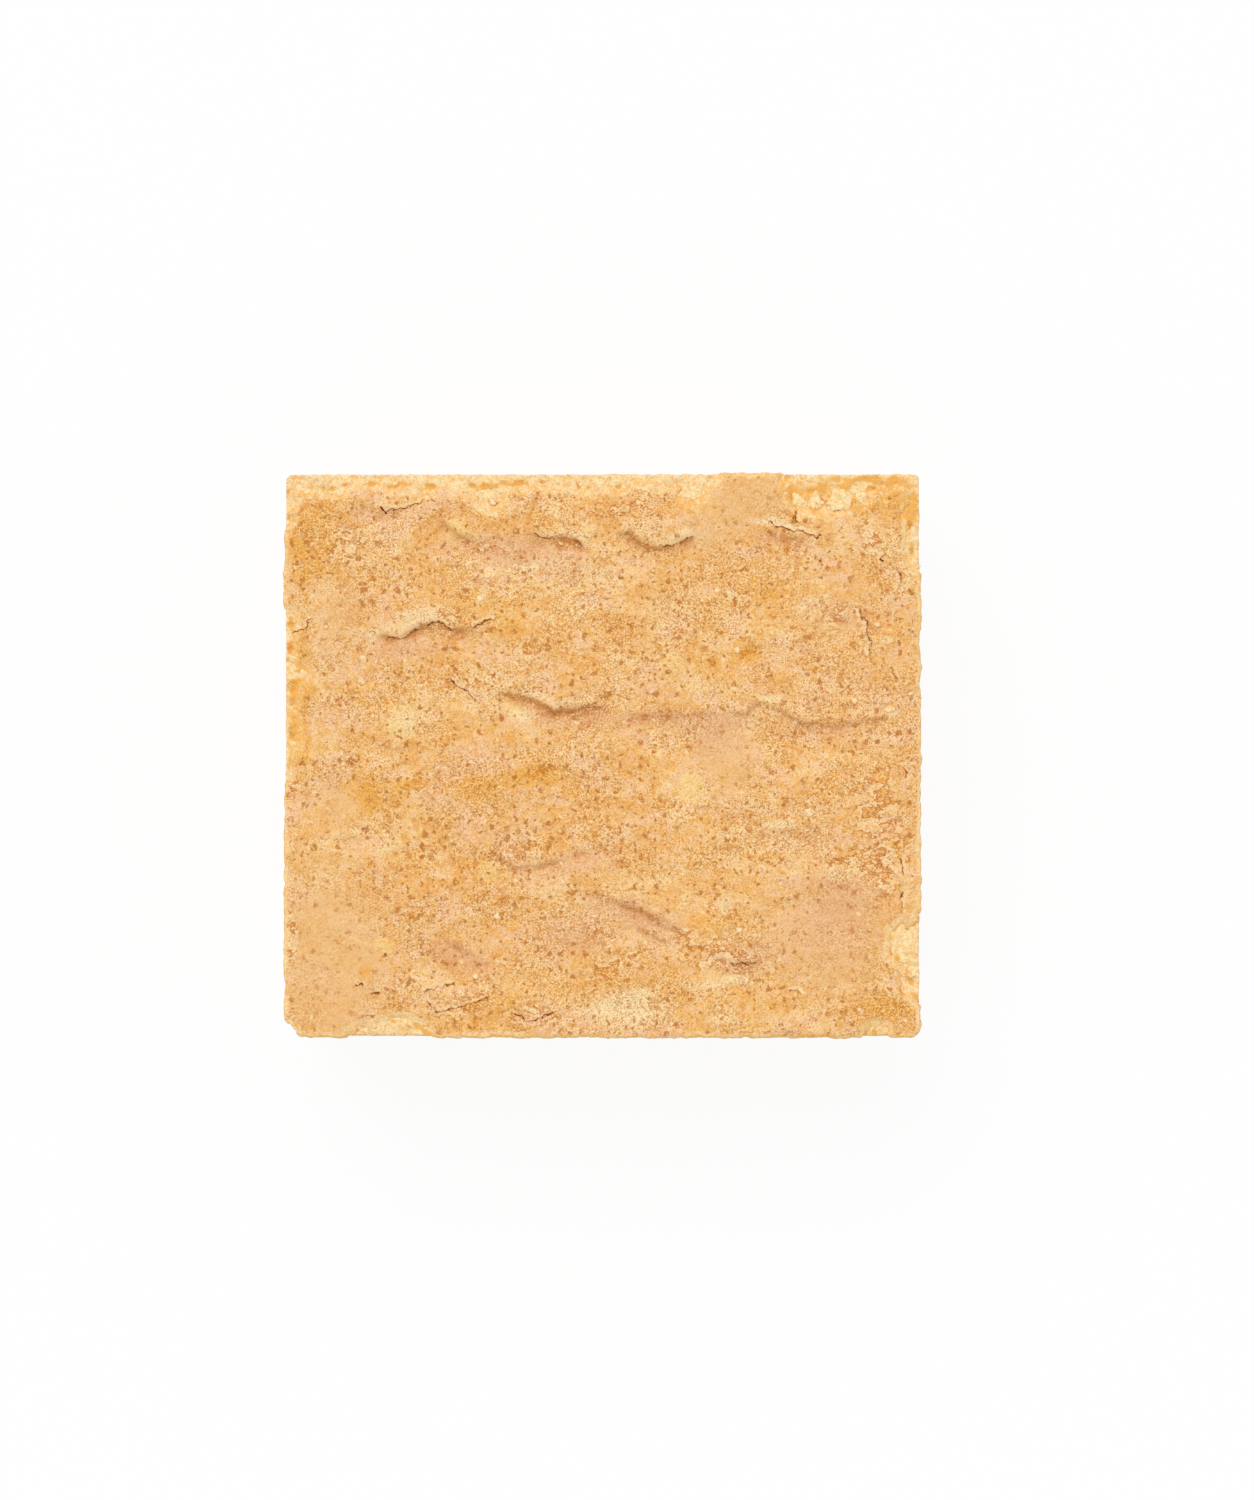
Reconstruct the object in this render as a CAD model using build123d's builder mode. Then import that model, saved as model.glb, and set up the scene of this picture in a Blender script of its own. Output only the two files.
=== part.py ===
"""A hand block of gymnastics chalk, pressed and skinned over, lying on its wide face.

The block is a crumbly core between a top crust and a base crust. Pale lumps sit in pockets in the core, and
most of them show through windows in the top crust. Along the rim the crust has broken back to a ledge of bare
core, where broken flakes and crumbs lie. A few grains lie on the crust.

Millimetres, +Z up. The origin is the centre of the resting face, +X along the longer side, and +Y towards the
back edge, where most of the crust is broken.
"""

import os

from build123d import *

# ---- The block ----
block_width = 57.2
block_depth = 50.8
core_height = 22.75
base_crust_thickness = 1.2
top_crust_thickness = 1.1

# ---- The outline's corners, all different because the block was broken from a slab ----
back_left_radius = 0.8
back_right_radius = 0.5
front_right_radius = 2.4
front_left_chamfer_x = 1.3
front_left_chamfer_y = 1.6

# ---- Gaps between pieces that lie loose or sit in a seat ----
lump_clearance = 0.05
flake_clearance = 0.12

# ---- Pale lumps: a round body in the core and, on most, a neck that fills a window in the top crust ----
lump_depth = 3.2
lump_edge_radius = 0.9
neck_dome_height = 0.25

# ---- Flakes, crumbs and grains ----
flake_thickness = 0.7
crumb_sides = 6
crumb_taper = 18
grain_sides = 5
grain_taper = 24
grain_height = 0.35

# The cut that opens a bite runs this far past the outline.
bite_overrun = 2.0

# The flakes at the broken back right corner lie together about this share of the back edge.
corner_share = 0.70

base_top = base_crust_thickness
core_top = base_top + core_height
crust_top = core_top + top_crust_thickness
half_width = block_width / 2
half_depth = block_depth / 2

# Each lump: place as a share of the half width and half depth, body radius, window radius (0 where covered).
lumps = {
    "lump_centre_back": (0.217, 0.318, 2.6, 1.3),
    "lump_left": (-0.63, 0.118, 3.0, 1.7),
    "lump_right": (0.556, -0.177, 3.2, 0.0),
    "lump_back_left": (-0.46, 0.80, 2.2, 1.2),
    "lump_centre_left": (-0.276, 0.177, 2.6, 1.3),
    "lump_centre_right": (0.276, -0.106, 2.6, 1.4),
    "lump_front_left": (-0.353, -0.406, 2.5, 1.2),
    "lump_left_front": (-0.69, -0.67, 2.2, 0.9),
}

# Each bite out of the top crust: its edge, then (share along the edge, how far the crust is set back).
bites = [
    ("back", [(-1.10, 1.3), (-0.85, 1.6), (-0.70, 1.2), (-0.54, 1.5), (-0.36, 1.3), (-0.20, 1.1),
              (-0.04, 1.5), (0.12, 1.2), (0.22, 1.5), (0.33, 1.2), (0.36, 0.3)]),
    ("back", [(0.57, 0.3), (0.60, 2.2), (0.66, 1.7), (0.74, 2.3), (0.82, 1.6), (0.92, 1.5), (1.10, 1.9)]),
    ("left", [(1.10, 0.9), (0.88, 0.7), (0.80, 0.2)]),
    ("left", [(0.52, 0.2), (0.46, 0.9), (0.34, 0.8), (0.20, 1.0), (0.02, 0.9), (-0.10, 0.2)]),
    ("right", [(1.10, 1.1), (0.88, 1.2), (0.72, 0.8), (0.64, 0.2)]),
    ("right", [(-0.56, 0.2), (-0.62, 1.3), (-0.72, 1.5), (-0.82, 1.0), (-0.88, 0.2)]),
    ("front", [(-0.80, 0.2), (-0.76, 1.2), (-0.66, 1.5), (-0.58, 1.1), (-0.54, 0.2)]),
    ("front", [(0.82, 0.2), (0.84, 0.6), (0.88, 0.6), (0.90, 0.2)]),
]

# Each flake: its edge, share along the edge, distance on from there, distance in, and its own outline.
flakes = {
    "flake_back_left": ("back", -0.353, 0, 2.2, [(-1.0, 0.5), (0.1, 0.7), (1.0, 0.6), (0.8, -0.3),
                                                 (0.3, -0.8), (-0.2, -0.2), (-0.8, -0.6)]),
    "flake_back_middle": ("back", 0.276, 0, 1.8, [(-1.2, -0.3), (-0.4, 0.4), (0.6, 0.6), (1.2, -0.1),
                                                  (0.2, -0.6)]),
    "flake_corner_left": ("back", corner_share, -2.5, 2.4, [(-0.5, 0.6), (0.3, 0.5), (0.6, -0.3),
                                                            (0.1, -0.7), (-0.4, -0.2)]),
    "flake_corner_middle": ("back", corner_share, -0.9, 2.6, [(-0.5, 0.1), (0.0, 1.0), (0.4, 0.3),
                                                              (0.8, -0.1), (0.2, -0.7), (-0.4, -0.6)]),
    "flake_corner_large": ("back", corner_share, 1.3, 2.4, [(-1.1, -0.4), (-0.4, 0.9), (0.3, 0.8), (1.1, 0.3),
                                                            (0.9, -0.8), (-0.1, -0.9), (-0.7, -1.0)]),
    "flake_corner_small": ("back", corner_share, 3.2, 2.3, [(-0.4, 0.3), (0.3, 0.4), (0.5, -0.1), (0.0, -0.4),
                                                            (-0.4, -0.2)]),
    "flake_left": ("left", 0.29, 0, 1.2, [(-0.7, 0.3), (0.2, 0.6), (0.8, 0.1), (0.3, -0.5), (-0.6, -0.3)]),
    "chunk_right": ("right", -0.67, 0, 1.6, [(-0.9, 0.9), (-0.1, 1.6), (0.9, 0.8), (0.8, -1.2), (0.0, -1.6),
                                             (-1.0, -0.8)]),
}

# Each group of crumbs: its edge, then (share along the edge, distance in, radius, height).
crumb_groups = {
    "crumbs_back": ("back", [(-0.94, 0.60, 0.36, 0.52), (-0.86, 0.80, 0.42, 0.60), (-0.78, 0.60, 0.34, 0.50),
                             (-0.71, 0.55, 0.32, 0.46), (-0.62, 0.65, 0.38, 0.55), (-0.53, 0.70, 0.40, 0.58),
                             (-0.45, 0.60, 0.34, 0.50), (-0.27, 0.55, 0.32, 0.48), (-0.18, 0.55, 0.30, 0.42),
                             (-0.09, 0.65, 0.38, 0.56), (0.00, 0.70, 0.42, 0.62), (0.09, 0.60, 0.34, 0.48),
                             (0.17, 0.60, 0.36, 0.52)]),
    "crumbs_corner": ("back", [(0.64, 0.65, 0.36, 0.50), (0.71, 0.75, 0.40, 0.58), (0.78, 0.70, 0.36, 0.50),
                               (0.85, 0.70, 0.42, 0.60), (0.91, 0.65, 0.34, 0.48)]),
    "crumbs_left": ("left", [(0.44, 0.45, 0.28, 0.42), (0.19, 0.50, 0.32, 0.46), (0.11, 0.45, 0.28, 0.40),
                             (0.04, 0.45, 0.26, 0.38)]),
    "crumbs_front": ("front", [(-0.74, 0.60, 0.32, 0.46), (-0.67, 0.75, 0.40, 0.56),
                               (-0.60, 0.60, 0.32, 0.44)]),
}

# The grains on the crust: place as a share of the half width and half depth, radius.
grains = [
    (-0.36, 0.64, 0.35), (-0.38, 0.55, 0.28), (0.36, 0.58, 0.32), (0.58, 0.56, 0.26), (0.42, 0.37, 0.26),
    (0.79, 0.19, 0.28), (0.90, 0.16, 0.30), (0.65, -0.20, 0.30), (-0.33, -0.57, 0.34), (-0.40, -0.78, 0.28),
    (-0.44, -0.73, 0.24), (0.43, -0.62, 0.26), (0.86, 0.46, 0.28), (-0.75, 0.34, 0.24),
]


def place(share_x, share_y):
    """A point on the block, from shares of its half width and half depth."""
    return share_x * half_width, share_y * half_depth


def edge_place(edge, share, inset, onward=0):
    """A point that lies inset from one edge, onward from a share of the half length along that edge."""
    along_x, along_y = place(share, share)
    return {
        "back": (along_x + onward, half_depth - inset),
        "front": (along_x + onward, -half_depth + inset),
        "left": (-half_width + inset, along_y + onward),
        "right": (half_width - inset, along_y + onward),
    }[edge]


def bite_corners(edge, setbacks):
    """The corners of a cut that opens the crust from beyond one edge back to the given setbacks."""
    inner = [edge_place(edge, share, setback) for share, setback in setbacks]
    start = edge_place(edge, setbacks[0][0], -bite_overrun)
    end = edge_place(edge, setbacks[-1][0], -bite_overrun)
    return [start, *inner, end]


def write(part, name):
    """Labels a finished piece and writes it to its own file."""
    part.label = name
    export_step(part, f"parts/{name}.step")


os.makedirs("parts", exist_ok=True)

# ---- The outline that the core and both crusts share ----
with BuildSketch() as outline:
    Rectangle(block_width, block_depth)
    left_corners = outline.vertices().group_by(Axis.X)[0].sort_by(Axis.Y)
    right_corners = outline.vertices().group_by(Axis.X)[-1].sort_by(Axis.Y)
    fillet(left_corners[-1], radius=back_left_radius)
    fillet(right_corners[-1], radius=back_right_radius)
    fillet(right_corners[0], radius=front_right_radius)
    with Locations((-half_width, -half_depth)):
        Polygon(
            (0, 0), (front_left_chamfer_x, 0), (0, front_left_chamfer_y), align=None, mode=Mode.SUBTRACT
        )

# ---- Base crust: the skin that the block lies on ----
with BuildPart() as base_crust:
    add(outline.sketch)
    extrude(amount=base_crust_thickness)
write(base_crust.part, "base_crust")

# ---- Core: the crumbly body, with a pocket for each lump ----
with BuildPart() as crumb_core:
    with BuildSketch(Plane.XY.offset(base_top)):
        add(outline.sketch)
    extrude(amount=core_height)
    for share_x, share_y, body_radius, _ in lumps.values():
        with Locations((*place(share_x, share_y), core_top)):
            Hole(body_radius + lump_clearance, depth=lump_depth)
write(crumb_core.part, "crumb_core")

# ---- The notches that the flakes lie in, each a little wider than its flake ----
with BuildSketch() as flake_seats:
    for edge, share, onward, inset, corners in flakes.values():
        with Locations(edge_place(edge, share, inset, onward)):
            Polygon(*corners, align=None)
    offset(amount=flake_clearance)

# ---- Top crust: broken back along the rim, with a window over each lump that shows ----
with BuildPart() as top_crust:
    with BuildSketch(Plane.XY.offset(core_top)):
        add(outline.sketch)
        for edge, setbacks in bites:
            with BuildLine():
                Polyline(*bite_corners(edge, setbacks), close=True)
            make_face(mode=Mode.SUBTRACT)
        add(flake_seats.sketch, mode=Mode.SUBTRACT)
        for share_x, share_y, _, window_radius in lumps.values():
            if window_radius:
                with Locations(place(share_x, share_y)):
                    Circle(window_radius, mode=Mode.SUBTRACT)
    extrude(amount=top_crust_thickness)
write(top_crust.part, "top_crust")

# ---- Lumps: seated on the pocket's floor and held down by the crust ----
for name, (share_x, share_y, body_radius, window_radius) in lumps.items():
    with BuildPart() as lump:
        with BuildSketch(Plane.XY.offset(core_top)):
            with Locations(place(share_x, share_y)):
                Circle(body_radius)
        extrude(amount=-lump_depth)
        fillet(lump.edges().group_by(Axis.Z)[0], radius=lump_edge_radius)
        if window_radius:
            with BuildSketch(Plane.XY.offset(core_top)):
                with Locations(place(share_x, share_y)):
                    Circle(window_radius - lump_clearance)
            extrude(amount=top_crust_thickness)
            fillet(lump.edges().group_by(Axis.Z)[-1], radius=neck_dome_height)
    write(lump.part, name)

# ---- Flakes: bits of broken crust that lie in the notches, on the bare core ----
for name, (edge, share, onward, inset, corners) in flakes.items():
    with BuildPart() as flake:
        with BuildSketch(Plane.XY.offset(core_top)):
            with Locations(edge_place(edge, share, inset, onward)):
                Polygon(*corners, align=None)
        extrude(amount=flake_thickness)
    write(flake.part, name)

# ---- Crumbs: loose bits of the core on the ledge, one node for each stretch of rim ----
for name, (edge, crumbs) in crumb_groups.items():
    with BuildPart() as group:
        for share, inset, radius, height in crumbs:
            with BuildSketch(Plane.XY.offset(core_top)):
                with Locations(edge_place(edge, share, inset)):
                    RegularPolygon(radius, crumb_sides)
            extrude(amount=height, taper=crumb_taper)
    write(group.part, name)

# ---- Grains: coarse specks that lie on the crust ----
with BuildPart() as surface_grains:
    for share_x, share_y, radius in grains:
        with BuildSketch(Plane.XY.offset(crust_top)):
            with Locations(place(share_x, share_y)):
                RegularPolygon(radius, grain_sides)
        extrude(amount=grain_height, taper=grain_taper)
write(surface_grains.part, "surface_grains")
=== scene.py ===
import math
from functools import partialmethod

import bpy
import numpy as np
from mathutils import Euler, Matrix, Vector, noise
from mathutils.bvhtree import BVHTree
from mathutils.kdtree import KDTree


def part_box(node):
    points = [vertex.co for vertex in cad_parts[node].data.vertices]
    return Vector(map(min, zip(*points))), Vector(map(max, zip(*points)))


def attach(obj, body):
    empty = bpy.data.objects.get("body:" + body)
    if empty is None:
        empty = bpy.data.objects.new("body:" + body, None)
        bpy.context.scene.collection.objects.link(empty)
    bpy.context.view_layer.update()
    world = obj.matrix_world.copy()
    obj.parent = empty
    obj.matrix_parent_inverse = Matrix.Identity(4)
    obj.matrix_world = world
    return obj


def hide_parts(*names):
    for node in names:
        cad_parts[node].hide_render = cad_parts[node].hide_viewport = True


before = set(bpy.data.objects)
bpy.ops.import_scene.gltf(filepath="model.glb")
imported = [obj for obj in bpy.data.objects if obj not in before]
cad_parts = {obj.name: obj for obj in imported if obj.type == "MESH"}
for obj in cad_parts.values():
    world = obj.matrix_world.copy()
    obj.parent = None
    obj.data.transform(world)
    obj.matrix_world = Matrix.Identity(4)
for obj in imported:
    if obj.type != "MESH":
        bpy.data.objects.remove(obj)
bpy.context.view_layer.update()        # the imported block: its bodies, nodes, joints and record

# The finish of a broken hand block: a freckled, wrinkled skin over a crumbly core, pale lumps that show
# through it, and flakes and crumbs where the rim broke. Each piece starts from its own CAD node, is remeshed
# finely and then worked like clay, in millimetres from the middle of the face.

MM = 0.001

# ---- Sizes that come from the frame, in millimetres ----


def box_of(node):
    """A node's lowest and highest corners, in millimetres."""
    return tuple(np.array(corner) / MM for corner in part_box(node))


(left, front, core_bottom), (right, back, core_top) = box_of("crumb_core")
crust_top = box_of("top_crust")[1][2]
crust_thickness = crust_top - core_top
block_top = max(box_of(node)[1][2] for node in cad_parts)


def named(*starts):
    """The nodes whose names start in one of these ways."""
    return sorted(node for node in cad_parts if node.startswith(starts))


LUMPS, FLAKES, CRUMBS = named("lump_"), named("flake_", "chunk_"), named("crumbs_")

# ---- Sizes of the finish, in millimetres ----
CRUST_GRID = 0.21
CORE_GRID = 0.30
BASE_GRID = 0.40
LUMP_GRID = 0.16
LEDGE_CUTS = 1
UNSEEN = 1.0        # faces this far in under another piece never show
UNSEEN_KEPT = 0.04  # the share of them that is kept
STRAIGHT = 0.35     # walls this near the straight edges aren't torn
RAGGED = 0.12       # how far the straight edges wander
TORN = 0.95         # how far the torn rim wanders
WIGGLE = 0.22       # how far the marks on the skin wander
NECK_SPREAD = 0.15
WINDOW_LAP = 0.30
# Each kind of broken bit: grid, roughness, swelling, and share of the swelling that goes up.
BITS = {"flake": (0.09, 0.13, 0.14, 0.3), "crumb": (0.09, 0.09, 0.1, 1), "grain": (0.07, 0.12, 0.1, 1)}
FLAKE_RISE = 0.12
FLAKE_TILT = 0.16
GRAIN_FLATTEN = 0.45
MARK_STEP = 0.2
FOLD_DEPTH = 1.25   # times the rise and the drop in its row
FOLD_EDGE = 0.36
CRACK_DEPTH = 0.08
CRACK_REACH = 0.7
PIT_DEPTH = 0.02
PIT_STRETCH = 1.4
PIT_TURN = 20
CORNER = 1.1
TOASTED = 2.6       # how high the walls are browned
SWELL_DEPTH = 1.25  # times the height in its row

# Wrinkles in the skin, from left to right: route as x and y by turns, rise behind, drop before, reach, and
# tone, the strength of the painted shade in and below the crease and of the painted highlight along the
# ridge.
FOLDS = [
    ([-10.6, 4.9, -9.8, 5.5, -8.4, 5.6, -6.5, 5, -5.4, 4.4, -4.3, 3.9, -2.6, 4.2, -0.2, 4.4, 1.6, 4.3], 0.2,
     0.34, 1.5, 1),
    ([1.2, 4.2, 3.4, 3.6, 6.2, 3.5, 8.8, 3.6, 11, 3.9], 0.1, 0.14, 1.3, 0.5),
    ([10.6, 3.7, 12.8, 3.9, 13.9, 4.7, 15.5, 4.2, 17.7, 3, 19.4, 2.6], 0.22, 0.24, 1.4, 0.45),
    ([17, 3, 20.5, 2.7, 22.6, 2.8, 26.7, 3.6], 0.1, 0.16, 1.2, 0.5),
    ([-7.6, 20.2, -6.1, 19.8, -4.7, 19.4, -4, 19.6, -2.6, 19.5, -1.5, 18.6, -0.8, 18.2], 0.2, 0.34, 1.5, 1),
    ([-15, 21.6, -14.1, 20.8, -12.9, 19.8, -12.1, 19.5, -10.6, 18.9], 0.16, 0.26, 1.3, 0.6),
    ([-22.6, 22.1, -21.4, 22.5, -20.2, 22.3, -18.9, 21.9, -17.7, 22.1, -16.2, 22.5], 0.14, 0.22, 1.2, 0.7),
    ([0.6, 19.6, 2.3, 20, 3.5, 19.1, 4.7, 18.5, 6.5, 18.7, 7.7, 19.2, 9, 20], 0.2, 0.28, 1.3, 0.9),
    ([-21.4, 11.4, -20.2, 10.9, -18.1, 10.4, -17, 11.1, -15.1, 12.1, -13.7, 11.4, -11.7, 11.3, -10.4, 12,
     -9, 11.9], 0.24, 0.28, 1.4, 0.9),
    ([-14.8, 6.9, -13.7, 6.6, -11.5, 5.2, -10.4, 4.9], 0.12, 0.16, 0.9, 0.6),
    ([-12.6, -9.2, -11, -9.3, -9.1, -9.4, -7.9, -10.1, -6.4, -10, -3.8, -9.4, -1.8, -8.6, 0.6, -7.6], 0.16,
     0.22, 1.3, 0.4),
    ([-2.6, -12.2, -1.1, -12.6, 1.8, -13.4, 4.5, -14.3, 6.4, -15.4, 7.5, -15.9, 9.4, -16], 0.16, 0.24, 1.2,
     0.75),
    ([2.6, -15, 3.9, -15.6, 5.4, -16.6, 6.6, -17.2], 0.1, 0.14, 0.8, 0.6),
    ([-18.2, -17.4, -15.6, -16, -13.2, -17, -11.2, -18.4, -9.6, -18.9], 0.1, 0.14, 1.6, 0.5),
    ([13.9, 20.2, 15.6, 19.9, 17.4, 19.4, 19.6, 19.2], 0.1, 0.2, 1.2, 0.6),
    ([19.6, 13.4, 21, 12.6, 22.6, 11.6], 0.08, 0.14, 1, 0.5),
    ([12.4, 10.6, 14.2, 9.8, 16.8, 9.9, 19, 10.8], 0.1, 0.12, 1.3, 0.4),
    ([22.6, -8.3, 24.3, -8.6, 26.9, -8.9], 0.1, 0.14, 0.7, 0.6),
    ([23.6, -4.7, 25.4, -5.4, 27.6, -5.6], 0.1, 0.16, 0.8, 0.6),
    ([-27.6, -8.4, -24.6, -7.6, -22.4, -7.5, -20.4, -8], 0.08, 0.12, 1.2, 0.4),
    ([-12.2, 1.2, -9, 0.4, -5.6, 0.7], 0.08, 0.1, 1.4, 0.3),
    ([-20.6, 1.2, -18.6, 0.6, -16.6, 0.9, -14.8, 0.2], 0.08, 0.12, 1, 0.4),
    ([7.6, -5.2, 9.6, -4.4, 11.6, -2.4, 13, -1.4], 0.08, 0.12, 1.2, 0.4),
    ([9.4, -17.9, 11.3, -18.6, 13.4, -18.8, 14.6, -18.4], 0.1, 0.18, 0.9, 0.8),
    ([13.2, -4.4, 13.9, -5.8, 15.2, -6.7, 16.6, -6.5, 17.4, -5.6], 0.1, 0.16, 0.7, 0.35),
]

# Cracks in the skin: route as x and y by turns, and depth as a share of the deepest.
CRACKS = [
    ([-20.2, 22.5, -19.4, 21.8, -19, 22.1, -17.7, 22.2, -16.9, 22.6, -16.4, 22.7, -15.7, 23.1], 0.9),
    ([-19.6, 10.8, -18.1, 10.4, -17.6, 10.6, -17, 11.1, -16.3, 11.2], 0.9),
    ([-16, 11.6, -15.1, 12.1, -14.5, 12, -13.7, 11.4, -13.2, 11.3], 1),
    ([-11.7, 11.3, -11.1, 11.8, -10.4, 12.1, -9.7, 12], 0.6),
    ([-13.7, 6.7, -12.9, 6.1, -12.4, 6, -11.5, 5.2], 0.8),
    ([-28.2, 10.7, -26.9, 11.2, -26.5, 11.5, -26.4, 12, -25.9, 12.4], 0.6),
    ([-6.1, 19.8, -5.2, 19.5, -4.2, 19.5], 0.7),
    ([-2.6, 19.5, -2, 19.2, -1.5, 18.6], 0.4),
    ([14.7, 20.8, 15.2, 20.9, 15.6, 20.4, 16.1, 20.5, 17.1, 20.1, 17.6, 20.3, 18.1, 20, 19.5, 19.5,
     19.8, 20.1], 1),
    ([17.5, 22.2, 17.3, 21.4, 17.6, 20.8], 0.5),
    ([5.2, 18.6, 6.5, 18.8, 7.2, 19, 7.8, 19.4, 8.6, 19.7], 0.5),
    ([24.1, 8.7, 23.9, 9.4, 24.2, 10.2, 23.6, 11.1, 23.7, 11.8, 23.2, 12.5, 23, 13.5], 0.5),
    ([26.6, 14.7, 26.9, 15.9, 26.3, 16.9], 0.4),
    ([26.4, 11.7, 26.1, 12.6, 26.4, 13.3], 0.35),
    ([21.7, 14.7, 21.6, 15.3, 21.5, 15.8], 0.4),
    ([25.9, 8.2, 26.3, 7.2, 26.9, 6.1], 0.35),
    ([25.2, 17.3, 25, 17.7, 25.5, 18.3], 0.7),
    ([19.4, 17.2, 19.8, 18.6], 0.3),
    ([-16.3, -21.6, -15.8, -21.3, -14.9, -20.9, -14.6, -21, -14.1, -20.6, -13.2, -20.3], 0.5),
    ([-16, -21.7, -15.6, -22.4, -14.8, -23, -13.9, -22.9, -12.9, -22.6, -11.8, -22.3, -11, -22, -9.8, -21.4],
     0.45),
    ([-8.3, -23, -7.4, -23.3, -6.8, -24, -6.1, -23.8, -5.5, -23.6, -4.7, -23.2, -4, -22.9], 0.7),
    ([-22.4, -20.5, -22, -20.4, -21.5, -20.6], 0.6),
    ([-20.9, -21.4, -20.5, -21.3, -20, -21.4], 0.5),
    ([-19.9, -17.9, -19.3, -17.9], 0.5),
    ([-21.9, -23.5, -21.2, -23.2, -20.4, -23.4], 0.4),
    ([11.2, -18.4, 11.8, -18.9, 12.4, -18.6, 13, -18.8, 13.9, -18.5], 1),
    ([16.7, -21.2, 17.5, -20.9, 17.9, -21.4], 0.5),
    ([22.3, -7.6, 22.6, -7, 22.7, -6.7], 0.4),
    ([20, -9.8, 19.9, -9.1, 20.3, -8.6], 0.3),
    ([26.6, -9, 26.9, -10.2, 27.2, -10.9], 0.6),
    ([27.1, -12, 26.6, -13, 26.9, -13.9], 0.5),
    ([26.9, -1, 27.4, -1.6, 27, -2.2], 0.4),
]

# Swellings and hollows of the skin: middle, half length, half width, height, and turn in degrees if any.
SWELLS = [
    (15.9, -4.3, 2.7, 2.3, 0.22), (15.5, -6.6, 3, 0.6, 0.1, 8), (-18, 3, 2.8, 2.6, 0.1),
    (-23.6, 10.5, 3, 6, 0.14, -12), (-16.2, 13.2, 4.4, 1.6, 0.14, 8), (-3.6, 16.6, 6, 1.8, 0.12, -6),
    (-9.6, 17.8, 3.6, 2, -0.16, -30), (5, 20.8, 4, 1.4, 0.12, 6), (5, 17, 3.6, 1.2, -0.1),
    (13.5, 22.8, 3.4, 2.2, 0.1), (-3.4, 6.4, 5, 1.4, 0.12, -4), (14.4, 6.6, 3.6, 1.4, 0.12, 4),
    (17, 1.2, 5, 1.3, -0.12, -4), (10.6, -0.8, 2.4, 4.6, -0.12, 18), (-9.2, -12.6, 3.4, 2.2, 0.14, 10),
    (-1.2, -10.8, 4, 1.2, 0.1, 18), (11.6, -13.8, 1.6, 2.8, 0.14, -8), (9.2, -13.2, 2.2, 1.6, -0.12),
    (-13.5, -19.4, 4.4, 1.4, -0.12, -20), (-19, -13, 4, 2.6, 0.06, 10), (22.6, 8.6, 2.6, 3, 0.08),
    (6.2, 8.2, 2.4, 1.8, 0.1, 10), (7.9, -2.6, 2, 2.2, 0.08), (24.6, -15.6, 3, 3.4, 0.06),
    (2.6, -23, 4.6, 1.6, -0.1), (20, -11.2, 3.4, 1.6, 0.1, -10), (-23, -4.4, 3.4, 2.2, -0.1),
]

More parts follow.
